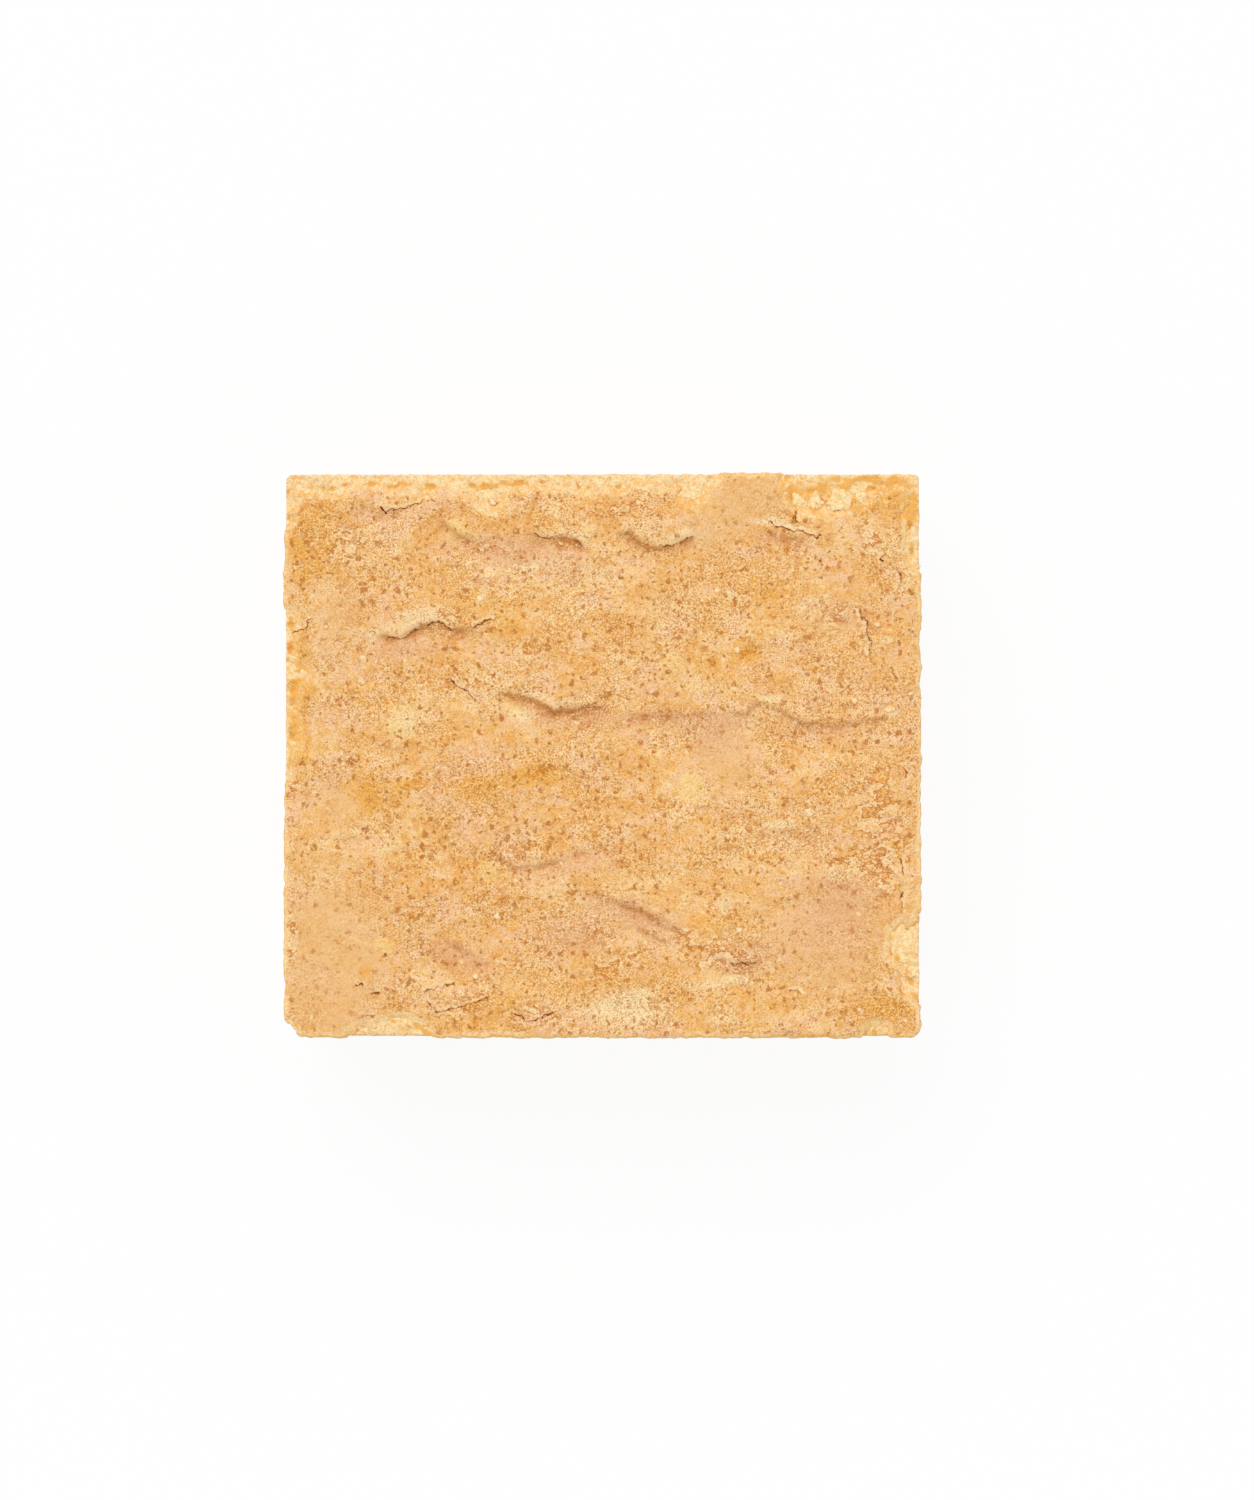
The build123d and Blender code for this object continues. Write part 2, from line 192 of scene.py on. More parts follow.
# Soft patches of each kind of colour: middle, half length, half width, strength, and turn in degrees if any.
PATCHES = {"smooth": [
    (13.4, 23.2, 3.6, 2.6, 1), (-24, 12, 3.2, 5, 0.7, -8), (11.6, 0.2, 2.8, 4.4, 0.9, 16),
    (-23.6, -17, 5.6, 7, 0.7), (18.6, -15.6, 8, 5.6, 0.45), (-23.6, -4.6, 4.2, 3, 0.6),
    (9, 19.6, 3, 2.2, 0.7), (19, 12, 5, 3, 0.5), (21, -20, 5, 3.4, 0.45), (-15.6, -4.2, 2.4, 2, 0.4),
    (-24.6, -19, 3.6, 6, 0.8), (24, -12.4, 2.4, 2, 0.3), (1.8, -23, 4.4, 1.6, 0.3),
# Pinkish patches: mostly painted shade below the wrinkles and cracks, partly a pinkish tone of the skin.
], "pink_tone_and_shade": [
    (2, -23.2, 4, 1.4, 0.3), (-8.6, 18.4, 5, 1.5, 0.9, -8), (-3.8, 17.4, 5, 1.2, 0.6, -10),
    (-17.6, 9.4, 4.2, 1.2, 0.7, 4), (-20.2, 21.6, 3, 0.8, 0.8), (-2.6, 3.4, 5.6, 1.2, 0.8, -3),
    (8.6, 3.4, 6, 1, 0.7), (18.6, 2.2, 4.4, 1, 0.7), (-12.6, -1.4, 4.4, 1.2, 0.6, -4),
    (-12.4, -18.4, 4.6, 1.6, 0.8, -22), (-3.4, -9.8, 6.6, 1.3, 0.7, 12), (3.6, -14.4, 6.4, 1.5, 0.9, -18),
    (-2.4, -16.2, 3.2, 2, 0.9), (13.4, -17.9, 2.4, 1.2, 0.8), (16.4, 19.2, 3.4, 0.8, 0.7, -4),
    (22.6, 12.6, 3, 1.2, 0.6, -20), (23.6, 5.6, 2.4, 3.6, 0.5, 20), (11.4, -4.6, 3, 1.4, 0.5, -30),
    (18.6, -7.4, 3.4, 1.4, 0.5, 10), (21.6, -11.6, 3.6, 1.6, 0.6, -10), (3.4, 12, 1.6, 0.6, 0.2),
    (21, -15, 3.6, 2.4, 0.5), (-22.6, 14, 2, 3, 0.3), (9.6, 1.4, 3, 2, 0.7), (20.2, -16.6, 6.4, 4.6, 0.45),
# Golden patches: golden tone, and painted shade in the hollows round the flakes and along the foot of the
# back rim.
], "golden": [
    (-8.6, -2.4, 5.6, 1.2, 0.8, 8), (13.1, 9.3, 1.3, 0.7, 1.2), (10.1, 8.2, 0.6, 0.5, 1.2),
    (26.2, -22.5, 1.7, 0.6, 1.4, -22), (4, -20, 8, 2.4, 0.6), (-11.6, -22.4, 5, 1.6, 0.6, 8),
    (-16.9, -2.6, 1.3, 0.4, 1.3, 4), (-5.6, -1.6, 1.9, 0.8, 1.2, 4), (-11.2, -3.5, 1.2, 1.1, 0.8, 30),
    (-20.8, -4, 0.4, 1, 1.2, 12), (-26.8, 19.6, 1.8, 3, 0.7), (-27.2, 9, 1.5, 6, 0.7),
    (-21, -2.8, 3, 2, 0.75), (8.6, -15, 2.6, 1.6, 0.5), (-18, -24.9, 4, 0.9, 0.5), (27, -17.6, 1.5, 3, 0.5),
    (24.8, -25, 1.8, 0.7, 0.7), (16.9, 23.9, 0.9, 0.9, 1.4), (19.4, 23.8, 1.3, 0.8, 1.4),
    (21.9, 24.2, 0.8, 0.5, 1.5), (22.8, 22.5, 0.9, 0.6, 1.3), (27.8, 21.9, 0.6, 1.2, 1.3),
    (17.4, 21.6, 0.3, 1.1, 1.3), (22, -5.6, 4, 2.6, 0.3), (24.9, -22.6, 1.8, 0.4, 1.6, -10),
    (-27.6, 1.6, 1.4, 5, 0.6), (14.4, 14.6, 3, 2, 0.6), (-13, 13.6, 3.6, 1.8, 0.4),
    (14, -22.6, 3.4, 1.6, 0.5), (-28, 24, 0.4, 0.5, 1), (-20.8, 24.3, 0.4, 0.2, 1.6),
    (-17.6, 24.4, 0.6, 0.2, 1.8), (-15.5, 24.2, 0.5, 0.25, 1.8), (-10.8, 24.3, 0.3, 0.3, 1.6),
    (-8.4, 24.4, 1.2, 0.2, 1.8, 4), (6, 22.4, 3, 0.8, 0.5, 12), (-24.6, 18, 3.4, 2.6, 0.5),
    (-24.4, 22, 2.6, 1.4, 0.4), (16.5, 18.4, 0.35, 0.35, 1.5), (-18.8, -16.9, 0.9, 0.6, 0.9),
    (-21.3, -19.4, 0.9, 0.6, 0.9), (-20, 5, 8, 3, 0.15), (19, 7.8, 0.5, 0.4, 1), (26.5, -8.3, 0.5, 0.65, 1.8),
    (23.6, 24.8, 3.4, 0.35, 1.3), (20.2, -16.6, 6.4, 4.6, 0.22), (-10, -10, 5, 4, 0.3),
    (-11, 14.2, 3, 1.8, 0.3), (9.4, -15.2, 3, 2, 0.3), (-10.8, -23.8, 3, 1.2, 0.3), (19.6, 5, 3, 2, 0.15),
    (26.2, 23.6, 2.4, 1.8, 0.7), (25.2, 16.5, 2.2, 2.2, 0.3), (-8.4, 11.6, 2.6, 1.8, 0.4),
    (14, 11, 2.4, 2, 0.4), (-25.4, -0.4, 1.8, 2, 0.35), (-19.4, -5.8, 2.4, 1.6, 0.4),
    (-25.2, 16.6, 2.4, 2, 0.3), (8.4, 22.6, 2.4, 1.4, 0.3), (19.6, 22, 2, 1.4, 0.3),
    (-8.4, -22.4, 2.4, 1.6, 0.3), (-2.6, 14.6, 2.4, 1.4, 0.2), (25.4, 21.4, 2.4, 3.2, 0.55),
    (18.4, 16.2, 5.6, 1.6, 0.3), (-8.2, 11.2, 3, 1.6, 0.3), (2.8, 22, 5, 1, 0.25),
], "orange": [
    (10.1, 8.1, 0.32, 0.36, 1.8), (13.1, 9.4, 0.7, 0.35, 1.5), (12.5, 9, 0.3, 0.4, 1.4),
    (19.2, 7.9, 0.4, 0.2, 1.4), (-16.9, -2.6, 1.2, 0.3, 1.3, 4), (-5.4, -1.4, 1.1, 0.5, 1.3, 10),
    (-6.6, -2, 0.5, 0.4, 1.2), (-20.2, -5.7, 0.4, 0.3, 1.6), (-20.9, -4, 0.35, 0.8, 1.2, 12),
    (26.6, -8, 0.4, 0.35, 1.8), (-9.4, -13.2, 1.4, 0.5, 0.8, 20), (-16.4, -16.8, 0.5, 0.4, 1),
    (27.4, -9.4, 0.3, 0.4, 1.6), (-28.2, -2.8, 0.3, 0.8, 1.4), (16.5, 18.4, 0.25, 0.25, 1.8),
    (-24.6, 15.6, 0.6, 0.3, 1),
# Dark brown marks: a few stains, and painted shade along creases and below cracks.
], "dark_stain_and_shade": [
    (-21.4, -6.7, 0.6, 0.4, 1.2), (-22.3, -0.6, 1.2, 0.5, 0.9, 20), (-14.4, 21.7, 0.7, 0.4, 1, -10),
    (-15.2, -17.6, 1.5, 0.6, 0.6, -28), (16.6, -24.9, 0.5, 0.4, 1.6), (11.8, -19.4, 1.3, 0.35, 0.9),
    (13.7, -18.3, 0.9, 0.5, 0.8), (-4.4, 3.7, 0.8, 0.4, 0.7), (-2.2, 19.1, 0.7, 0.4, 0.6),
    (-9.6, -9.2, 1.3, 0.35, 0.8, -15), (0.8, -12.8, 3, 0.6, 0.5, -14), (4.6, -14.4, 1.6, 0.5, 0.5, -20),
# Pale patches: pale flecks and paler skin, and painted highlight on the ridges above some wrinkles and
# cracks.
], "pale": [
    (11.6, 14.4, 0.45, 0.35, 1.6), (17.9, 13.4, 0.35, 0.3, 1.4), (25.4, 10.5, 0.5, 0.3, 1.6),
    (26.1, 3.9, 0.6, 0.35, 1.6, 10), (-10.3, 16.4, 0.5, 0.35, 1.4, 50), (-10.8, 14.1, 0.5, 0.3, 1.4, 50),
    (-20.6, 10.9, 0.4, 0.5, 1.4), (14.4, 20.9, 1, 0.3, 1.2, -8), (16.2, 20.9, 1.4, 0.3, 1.4, -20),
    (-18, 3, 1.5, 1.3, 0.8), (-7.3, 3.6, 1.2, 0.9, 1), (-6.4, -10.8, 1.4, 1, 0.5), (5, 13.4, 4.4, 1.8, 0.45),
    (8.4, 19.4, 2.4, 1.6, 0.5), (2.8, -22.4, 2.8, 1.6, 0.5), (2.6, -23.4, 4.6, 1.3, 0.7),
    (-16.6, 12.6, 3.6, 0.8, 0.6, 14), (-6.6, 17, 3.4, 0.5, 0.8, 8), (-1, 16.6, 2.4, 0.5, 0.6, -12),
    (15.4, 5.2, 1.8, 0.4, 0.7), (12.6, 3.9, 1.6, 0.4, 0.6, 10), (-19.4, -8.4, 1.6, 0.6, 0.7),
    (21, -10.6, 2.6, 0.9, 0.7, -14), (9.4, -20.6, 3, 0.5, 0.8), (3.4, -21.6, 1.6, 0.6, 0.7, 20),
    (-6, 0.6, 4, 0.8, 0.4), (-11.6, -13.6, 2, 0.6, 0.5, 20), (15.5, -6.2, 2.2, 0.4, 1.1, 4),
    (-15.6, 3.6, 2, 1.6, 0.3), (11, -13.5, 0.4, 1, 1.6, -8), (12.2, -20.2, 1.5, 0.35, 1.1, -8),
    (-9.4, 9.8, 5, 1.4, 0.3, -10), (22, 15, 2.6, 3, 0.3), (-17.6, -12, 2, 0.8, 0.4),
    (-18.4, -24, 2.4, 0.8, 0.9), (-20.8, -24.6, 1, 0.4, 0.8), (26.8, -16.6, 0.9, 1.6, 0.5),
    (0.4, -22.2, 2.6, 1.1, 0.5, 10), (8.4, 15.4, 3, 2.2, 0.25), (5.8, 11, 4, 2, 0.2),
    (-25.2, -11, 2.4, 2.4, 0.2), (25.2, 0.4, 2.4, 2.2, 0.5), (-25, -11, 2.6, 2.4, 0.3),
], "dense": [
    (-11, -8.6, 9, 7, 0.7), (11, -5.6, 5, 3, 0.4), (6.4, 9.4, 5, 3, 0.4), (-18.6, 8.6, 4, 1.6, 0.5),
    (4.6, 2.4, 4, 1.2, 0.5), (21, -22.6, 6, 2, 0.4),
], "scaly": [
    (-23.4, 18.6, 3.6, 2.6, 0.65), (-12.4, -22.2, 4, 1.4, 0.9, 6), (-5.8, -23.4, 2.6, 1.2, 1.1),
    (25, -7, 2.6, 6, 0.9, 6), (11, -18.4, 4.4, 1.4, 1, -8), (2.4, -18.6, 4, 1.6, 0.6, 10),
    (7.6, -15.6, 3, 1.2, 0.7, -20), (21.4, -9.4, 2.8, 1.2, 0.8, -16), (-7.6, 9, 3.6, 1.6, 0.7, -14),
    (3, 22.6, 4, 1.2, 0.7, 10), (24.6, 20, 2.6, 3.4, 0.8, -20), (-28, -3, 0.8, 6, 1), (-28, -16.4, 0.6, 3, 1),
    (-9.4, 18.6, 3.4, 1.2, 0.6, -14), (20.6, 12.4, 3, 1.6, 0.6, -30), (-15, 12.6, 4, 1.2, 0.6, 10),
]}

# Small pits in the skin: middle and half width.
PITS = [
    (-23.1, 20, 0.45), (-21.8, 19.2, 0.4), (-21.7, 17.7, 0.45), (-20.2, 18.9, 0.4), (-23.3, 18.5, 0.3),
    (-24.7, 17.4, 0.3), (-27.3, 17.2, 0.3), (-24.7, 15.7, 0.35), (-22.6, 16.4, 0.25), (-19.4, 17, 0.25),
    (21.8, -3.1, 0.22), (23.2, -3.3, 0.25), (24.3, -2.7, 0.22), (16.6, -25, 0.35), (-20.2, -5.7, 0.3),
    (-26.8, 13.4, 0.2), (-9.2, 10, 0.3), (-7.8, 9, 0.25), (-5.6, 8.6, 0.3), (10.4, 20.4, 0.25),
    (-14.8, 17.6, 0.25), (-13.2, 16.8, 0.2), (-25, -0.6, 0.25), (-26.6, -2.6, 0.3), (26, -17.8, 0.25),
    (-8.8, -18.2, 0.25),
]


# ---- Shapes: numbers over the points of a mesh, in millimetres ----


def ease(low, high, value):
    """0 below low, 1 above high and a smooth S between them."""
    share = np.clip((value - low) / (high - low), 0, 1)
    return share * share * (3 - 2 * share)


def bell(value):
    """1 at 0, falling smoothly to nothing by about 2."""
    return np.exp(-value * value)


def cloud(points, size, seed, octaves=2):
    """Soft noise of a given grain, about -1 to 1."""
    shifted = points / size + np.array([seed * 7.31, seed * 3.17, seed * 5.73])
    return np.array([noise.fractal(Vector(p), 0.6, 2.0, octaves) for p in shifted])


def cells(points, size, seed):
    """Cells of a given size, like packed crumbs: 1 at each middle, about 0 between them."""
    shifted = points / size + np.array([seed * 4.19, seed * 6.37, seed * 2.71])
    near = np.array([noise.voronoi(Vector(p))[0][:2] for p in shifted])
    return np.clip(near[:, 1] - near[:, 0], 0, 1)


def flat(points):
    """The points pressed onto the plane of the face."""
    return points * np.array([1, 1, 0])


def face_length(vectors):
    """How long each vector is over the face."""
    return np.hypot(vectors[:, 0], vectors[:, 1])


def hump(points, x, y, half_long, half_wide, strength, turn=0):
    """A soft oval hump over the face: its full strength in the middle, fading out past its edge."""
    angle = math.radians(turn)
    away = points[:, :2] - (x, y)
    along = away[:, 0] * math.cos(angle) + away[:, 1] * math.sin(angle)
    across = away[:, 1] * math.cos(angle) - away[:, 0] * math.sin(angle)
    return strength * bell(np.hypot(along / half_long, across / half_wide))


def trace(points, route):
    """Distance from a route, positive on its left, and how far along it the nearest place is, from 0 to 1."""
    route = np.array(route, float).reshape(-1, 2)
    steps = np.diff(route, axis=0)
    lengths = face_length(steps)
    travelled = np.cumsum(lengths) - lengths
    away, share = np.full(len(points), np.inf), np.zeros(len(points))
    for start, step, length, before in zip(route, steps, lengths, travelled):
        offset = points[:, :2] - start
        along = np.clip(offset @ step / length**2, 0, 1)
        gap = face_length(offset - along[:, None] * step)
        side = np.where(step[0] * offset[:, 1] < step[1] * offset[:, 0], -1, 1)
        nearer = gap < abs(away)
        away[nearer] = (gap * side)[nearer]
        share[nearer] = (before + along * length)[nearer]
    return away, share / lengths.sum()


def rounded(points, radius):
    """The points with the block's four upright corners eased to a radius."""
    half = np.array([right, back]) - radius
    beyond = abs(points[:, :2]) - half
    away = face_length(beyond)
    pull = np.where((beyond > 0).all(1) & (away > radius), radius / np.maximum(away, radius), 1.0)
    eased = points.copy()
    corner = np.sign(points[:, :2]) * (half + beyond * pull[:, None])
    eased[:, :2] = np.where(beyond > 0, corner, points[:, :2])
    return eased


def inset(points):
    """How far inside the block's straight edges each point lies."""
    across = np.minimum(points[:, 0] - left, right - points[:, 0])
    deep = np.minimum(points[:, 1] - front, back - points[:, 1])
    return np.minimum(across, deep)


def nearest(points, marks):
    """Distance over the face from each point to the nearest mark, and which mark that is."""
    tree = KDTree(len(marks))
    for index, (x, y) in enumerate(marks[:, :2]):
        tree.insert((x, y, 0), index)
    tree.balance()
    found = [tree.find((x, y, 0)) for x, y in points[:, :2]]
    return np.array([hit[2] for hit in found]), np.array([hit[1] for hit in found])


# ---- Mesh work ----


def only(piece):
    """Selects one piece and makes it the active one."""
    bpy.ops.object.select_all(action="DESELECT")
    piece.select_set(True)
    bpy.context.view_layer.objects.active = piece


def vectors_of(items, name):
    """One vector of each vertex or face of a mesh."""
    found = np.empty(len(items) * 3)
    items.foreach_get(name, found)
    return found.reshape(-1, 3)


def points_of(piece):
    """The piece's vertices in millimetres."""
    return vectors_of(piece.data.vertices, "co") / MM


def shape_of(piece):
    """The piece's vertices, in millimetres, and their normals."""
    return points_of(piece), vectors_of(piece.data.vertices, "normal")


def faces_of(piece):
    """The middles of the piece's faces, in millimetres, and their normals."""
    faces = piece.data.polygons
    return vectors_of(faces, "center") / MM, vectors_of(faces, "normal")


def move(piece, points):
    """Puts the piece's vertices at these places, in millimetres."""
    piece.data.vertices.foreach_set("co", (points * MM).ravel())
    piece.data.update()


def write_fields(piece, **fields):
    """Keeps numbers at each vertex for the materials to read."""
    for name, values in fields.items():
        field = piece.data.attributes.new(name, "FLOAT", "POINT")
        field.data.foreach_set("value", np.asarray(values, float))


def edit(piece, chosen, operator, **settings):
    """Runs one edit-mode operator on the chosen faces."""
    only(piece)
    bpy.ops.object.mode_set(mode="EDIT")
    bpy.ops.mesh.select_mode(type="FACE")
    bpy.ops.mesh.select_all(action="DESELECT")
    bpy.ops.object.mode_set(mode="OBJECT")
    piece.data.polygons.foreach_set("select", np.asarray(chosen, bool))
    bpy.ops.object.mode_set(mode="EDIT")
    operator(**settings)
    bpy.ops.object.mode_set(mode="OBJECT")


def clay(node, grid):
    """A copy of a CAD node as one closed skin of small even faces, ready to be worked."""
    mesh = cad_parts[node].data.copy()
    mesh.materials.clear()
    piece = bpy.data.objects.new(f"{node}_finished", mesh)
    bpy.context.scene.collection.objects.link(piece)
    edit(piece, np.ones(len(mesh.polygons)), bpy.ops.mesh.remove_doubles, threshold=1e-6)
    remesh = piece.modifiers.new("Remesh", "REMESH")
    remesh.mode = "VOXEL"
    remesh.voxel_size = grid * MM
    bpy.ops.object.modifier_apply(modifier=remesh.name)
    bpy.ops.object.shade_smooth()
    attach(piece, "root")
    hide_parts(node)
    return piece


# ---- Where the skin is whole, and how it lies ----


def window_gaps(points):
    """The gap over the face to the rim of the nearest window that a lump shows through, negative inside it,
    and the way from there to the window's middle."""
    gap, toward = np.full(len(points), 99.0), np.zeros((len(points), 3))
    for node in LUMPS:
        if WINDOWS[node]:
            low, high = box_of(node)
            way = flat((low + high) / 2 - points)
            length = face_length(way)
            closer = length - WINDOWS[node] < gap
            gap[closer] = (length - WINDOWS[node])[closer]
            toward[closer] = (way / np.maximum(length, 0.1)[:, None])[closer]
    return gap, toward


def window_radius(node):
    """The radius of the neck that a lump shows, from its CAD mesh."""
    points = points_of(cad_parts[node])
    middle = (points.min(0) + points.max(0)) / 2
    neck = points[points[:, 2] > core_top + 0.3 * crust_thickness]
    return face_length(neck - middle).max() if len(neck) else 0.0


WINDOWS = {node: window_radius(node) for node in LUMPS}


def skin(points):
    """The height and colour fields of the top skin at each point of the face."""
    face = flat(points)
    wander = np.stack([cloud(face, 2.2, 11, 2), cloud(face, 2.2, 12, 2), np.zeros(len(face))], axis=1)
    spots = face + WIGGLE * wander
    fields = {name: np.zeros(len(points)) for name in (*PATCHES, "crease_shade", "pit")}
    height = 0.1 * cloud(face, 9, 1, 2) + 0.08 * cloud(face * [0.5, 1, 1], 2.4, 2, 3)
    height += 0.05 * cloud(face, 0.8, 3, 3)
    for swell in SWELLS:
        height += SWELL_DEPTH * hump(spots, *swell)
    for kind, patches in PATCHES.items():
        for patch in patches:
            fields[kind] += hump(spots, *patch)
    uneven = 0.35 + 0.65 * ease(-0.35, 0.2, cloud(face, 3.2, 13, 2))
    for route, rise, drop, reach, tone in FOLDS:
        gap, share = trace(spots, route)
        taper = ease(0, 0.2, share) * ease(0, 0.2, 1 - share) * uneven
        behind = ease(-FOLD_EDGE, FOLD_EDGE, gap)
        lip = behind * rise * np.exp(-np.maximum(gap, 0) / reach)
        dip = (1 - behind) * drop * np.exp(np.minimum(gap, 0) / (0.8 * reach))
        height += FOLD_DEPTH * taper * (lip - dip)
        # Painted light on each wrinkle: shade in its crease, a pinkish shade below it and a highlight along
        # its ridge.
        fields["crease_shade"] += taper * tone * (0.6 * bell((gap + 0.45) / 0.6) + 0.6 * bell((gap + 0.08) / 0.22))
        fields["pink_tone_and_shade"] += 0.5 * taper * tone * (1 - behind) * np.exp(np.minimum(gap, 0) / 0.9)
        fields["pale"] += 0.6 * taper * tone * bell((gap - 0.7) / 0.5)
    for x, y, half in PITS:
        hollow = hump(spots, x, y, PIT_STRETCH * half, half, 1, PIT_TURN)
        height -= PIT_DEPTH * hollow
        fields["pit"] += hollow
    crack, depth = np.full(len(points), 9.0), np.zeros(len(points))
    for route, share_deep in CRACKS:
        gap, share = trace(spots, route)
        taper = ease(0, 0.12, share) * ease(0, 0.12, 1 - share) * share_deep
        height -= CRACK_DEPTH * taper * bell(gap / 0.16)
        nearer = abs(gap) < abs(crack)
        crack[nearer], depth[nearer] = gap[nearer], (taper * (abs(gap) < CRACK_REACH))[nearer]
    fields["crack"] = np.clip(crack, -1, 1)
    fields["crack_depth"] = depth
    return height, fields


def keep_fields(piece, fields, broken, window):
    """Keeps the skin's colour fields, how near each point is to a broken edge or a lump, and how steep, for a
    painted shade on the steep faces near a broken edge.
    """
    fields["broken"] = bell(broken)
    upright = shape_of(piece)[1][:, 2]
    fields["flank"] = ease(0.99, 0.86, upright) * (0.4 + 0.6 * ease(0.2, 0.6, upright)) * bell(broken / 2)
    fields["window"] = 1 - ease(-1, 1, window)
    write_fields(piece, **fields)


def make_top_crust():
    """The wrinkled skin, broken back at the rim and open over the lumps."""
    piece = clay("top_crust", CRUST_GRID)
    middles, normals = faces_of(piece)
    hidden = (normals[:, 2] < -0.95) & (inset(middles) > UNSEEN)
    edit(piece, hidden, bpy.ops.mesh.decimate, ratio=UNSEEN_KEPT)
    points, normals = shape_of(piece)
    face = flat(points)
    window, toward = window_gaps(points)
    lift = np.clip((points[:, 2] - core_top) / crust_thickness, 0, 1)
    wall = (abs(normals[:, 2]) < 0.5) & (window > 0.5)
    broken_wall = wall & (inset(points) > STRAIGHT)
    broken, _ = nearest(points, points[broken_wall])
    # The torn edge wanders in and out, and the skin beside it is drawn along.
    gap, which = nearest(points, points[wall])
    outward = flat(normals[wall])
    outward /= np.maximum(face_length(outward), 0.1)[:, None]
    size = np.where(inset(points[wall]) > STRAIGHT, TORN, RAGGED)
    seats = np.vstack([points_of(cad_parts[node]) for node in FLAKES])
    size *= ease(0.3, 1.6, nearest(points[wall], seats)[0])
    wide = size * (cloud(face[wall], 2.2, 22, 2) + 0.6 * cloud(face[wall], 5, 23, 1))
    narrow = (0.06 + 0.38 * size) * cloud(face[wall], 0.6, 24, 2)
    shift = wide[which] * ease(1.5, 0, gap) + narrow[which] * ease(0.5, 0, gap)
    moved = rounded(points + outward[which] * shift[:, None], CORNER)
    # Round each window the skin laps a little over the lump.
    moved += toward * (WINDOW_LAP * ease(0.9, 0, abs(window)))[:, None]
    height, fields = skin(moved)
    tatter = cloud(face, 0.7, 21, 3)
    height -= 0.1 * bell(broken / 0.4) * (1 + 0.8 * tatter)
    height -= 0.22 * bell(broken / 0.8) * (1 - cells(face, 0.55, 25))
    height -= 0.12 * bell(np.maximum(inset(points), 0) / 0.35) * (1 + 0.8 * tatter)
    near_window = (abs(window) < 0.45) & (lift > 0.7)
    moved[near_window, 2] = crust_top - 0.06 * bell(window[near_window] / 0.25)
    moved[:, 2] = np.minimum(moved[:, 2] + lift * height, block_top)
    move(piece, moved)
    near_edge = 1.3 * np.maximum(inset(points), 0) + 0.3
    keep_fields(piece, fields, np.minimum(broken, near_edge), window_gaps(moved)[0])
    return piece


def make_core():
    """The crumbly body: torn walls with pores, and a ledge of crumbs where the skin has broken away."""
    piece = clay("crumb_core", CORE_GRID)
    middles, normals = faces_of(piece)
    deep_under = skin_depth(middles) > 1.6
    hidden = ((normals[:, 2] > 0.9) & deep_under) | ((normals[:, 2] < -0.9) & (inset(middles) > UNSEEN))
    edit(piece, hidden, bpy.ops.mesh.decimate, ratio=0.03)
    middles, normals = faces_of(piece)
    uncovered = (normals[:, 2] > 0.3) & (middles[:, 2] > core_top - 0.4) & (skin_depth(middles) < 0.9)
    edit(piece, uncovered, bpy.ops.mesh.subdivide, number_cuts=LEDGE_CUTS)
    points, normals = shape_of(piece)
    face = flat(points)
    depth = skin_depth(points)
    upward = ease(0.3, 0.8, normals[:, 2]) * (points[:, 2] > core_top - 0.5)
    bare = ease(1.2, 0.6, depth)
    crumbs = 0.18 * cells(face, 0.9, 31) + 0.14 * cells(face, 0.4, 32)
    crumbs += 0.22 * cloud(face, 1.1, 33, 3)
    # The seam along the skin's rim: the ledge dips a little there, and the seam and a band under the rim
    # carry a painted golden shade.
    seam = bell((-depth - 0.2) / 0.35) * ease(0.15, 0.35, cloud(face, 1.3, 37, 2)) * upward
    rise = bare * upward * (0.85 + crumbs - 0.25 * seam)
    outward = normals * [1, 1, 0]
    sideways = ease(0.3, 0.8, face_length(normals)) * (inset(points) < 1)
    pores = cells(points, 1.5, 34) + 0.6 * cells(points, 0.6, 35)
    dents = ease(0.15, 0.75, cloud(points, 2.4, 36, 2))
    middle_height = (points[:, 2] - core_bottom) / (core_top - core_bottom)
    belly = np.clip(4 * middle_height * (1 - middle_height), 0, 1)
    inward = 0.2 * belly + 0.34 * (1 - np.clip(pores, 0, 1)) * (0.4 + 0.6 * belly) + 0.45 * dents * belly
    moved = rounded(points - outward * (sideways * inward)[:, None], CORNER)
    moved[:, 2] += crust_thickness * np.minimum(0.8 * rise, 0.92 - 0.3 * ease(0, 0.8, depth))
    move(piece, moved)
    ledge = upward * bare
    _, fields = skin(points[ledge > 0])
    kept = {name: np.zeros(len(points)) for name in ("golden", "dark_stain_and_shade", "pit")}
    for name, values in kept.items():
        values[ledge > 0] = fields[name]
    under_rim_shade = bell((depth + 0.05) / 0.3) * ease(0.1, 0.5, cloud(face, 1, 38, 2))
    # Painted shade where the walls are pitted and dented inward.
    hollow = (1 - upward) * (np.clip(1 - pores, 0, 1) * 0.6 + dents * 0.6)
    toasted = ease(core_bottom + TOASTED, core_bottom, points[:, 2])
    write_fields(piece, ledge=ledge, seam=seam + 0.8 * under_rim_shade, hollow=hollow, toasted=toasted, **kept)
    return piece


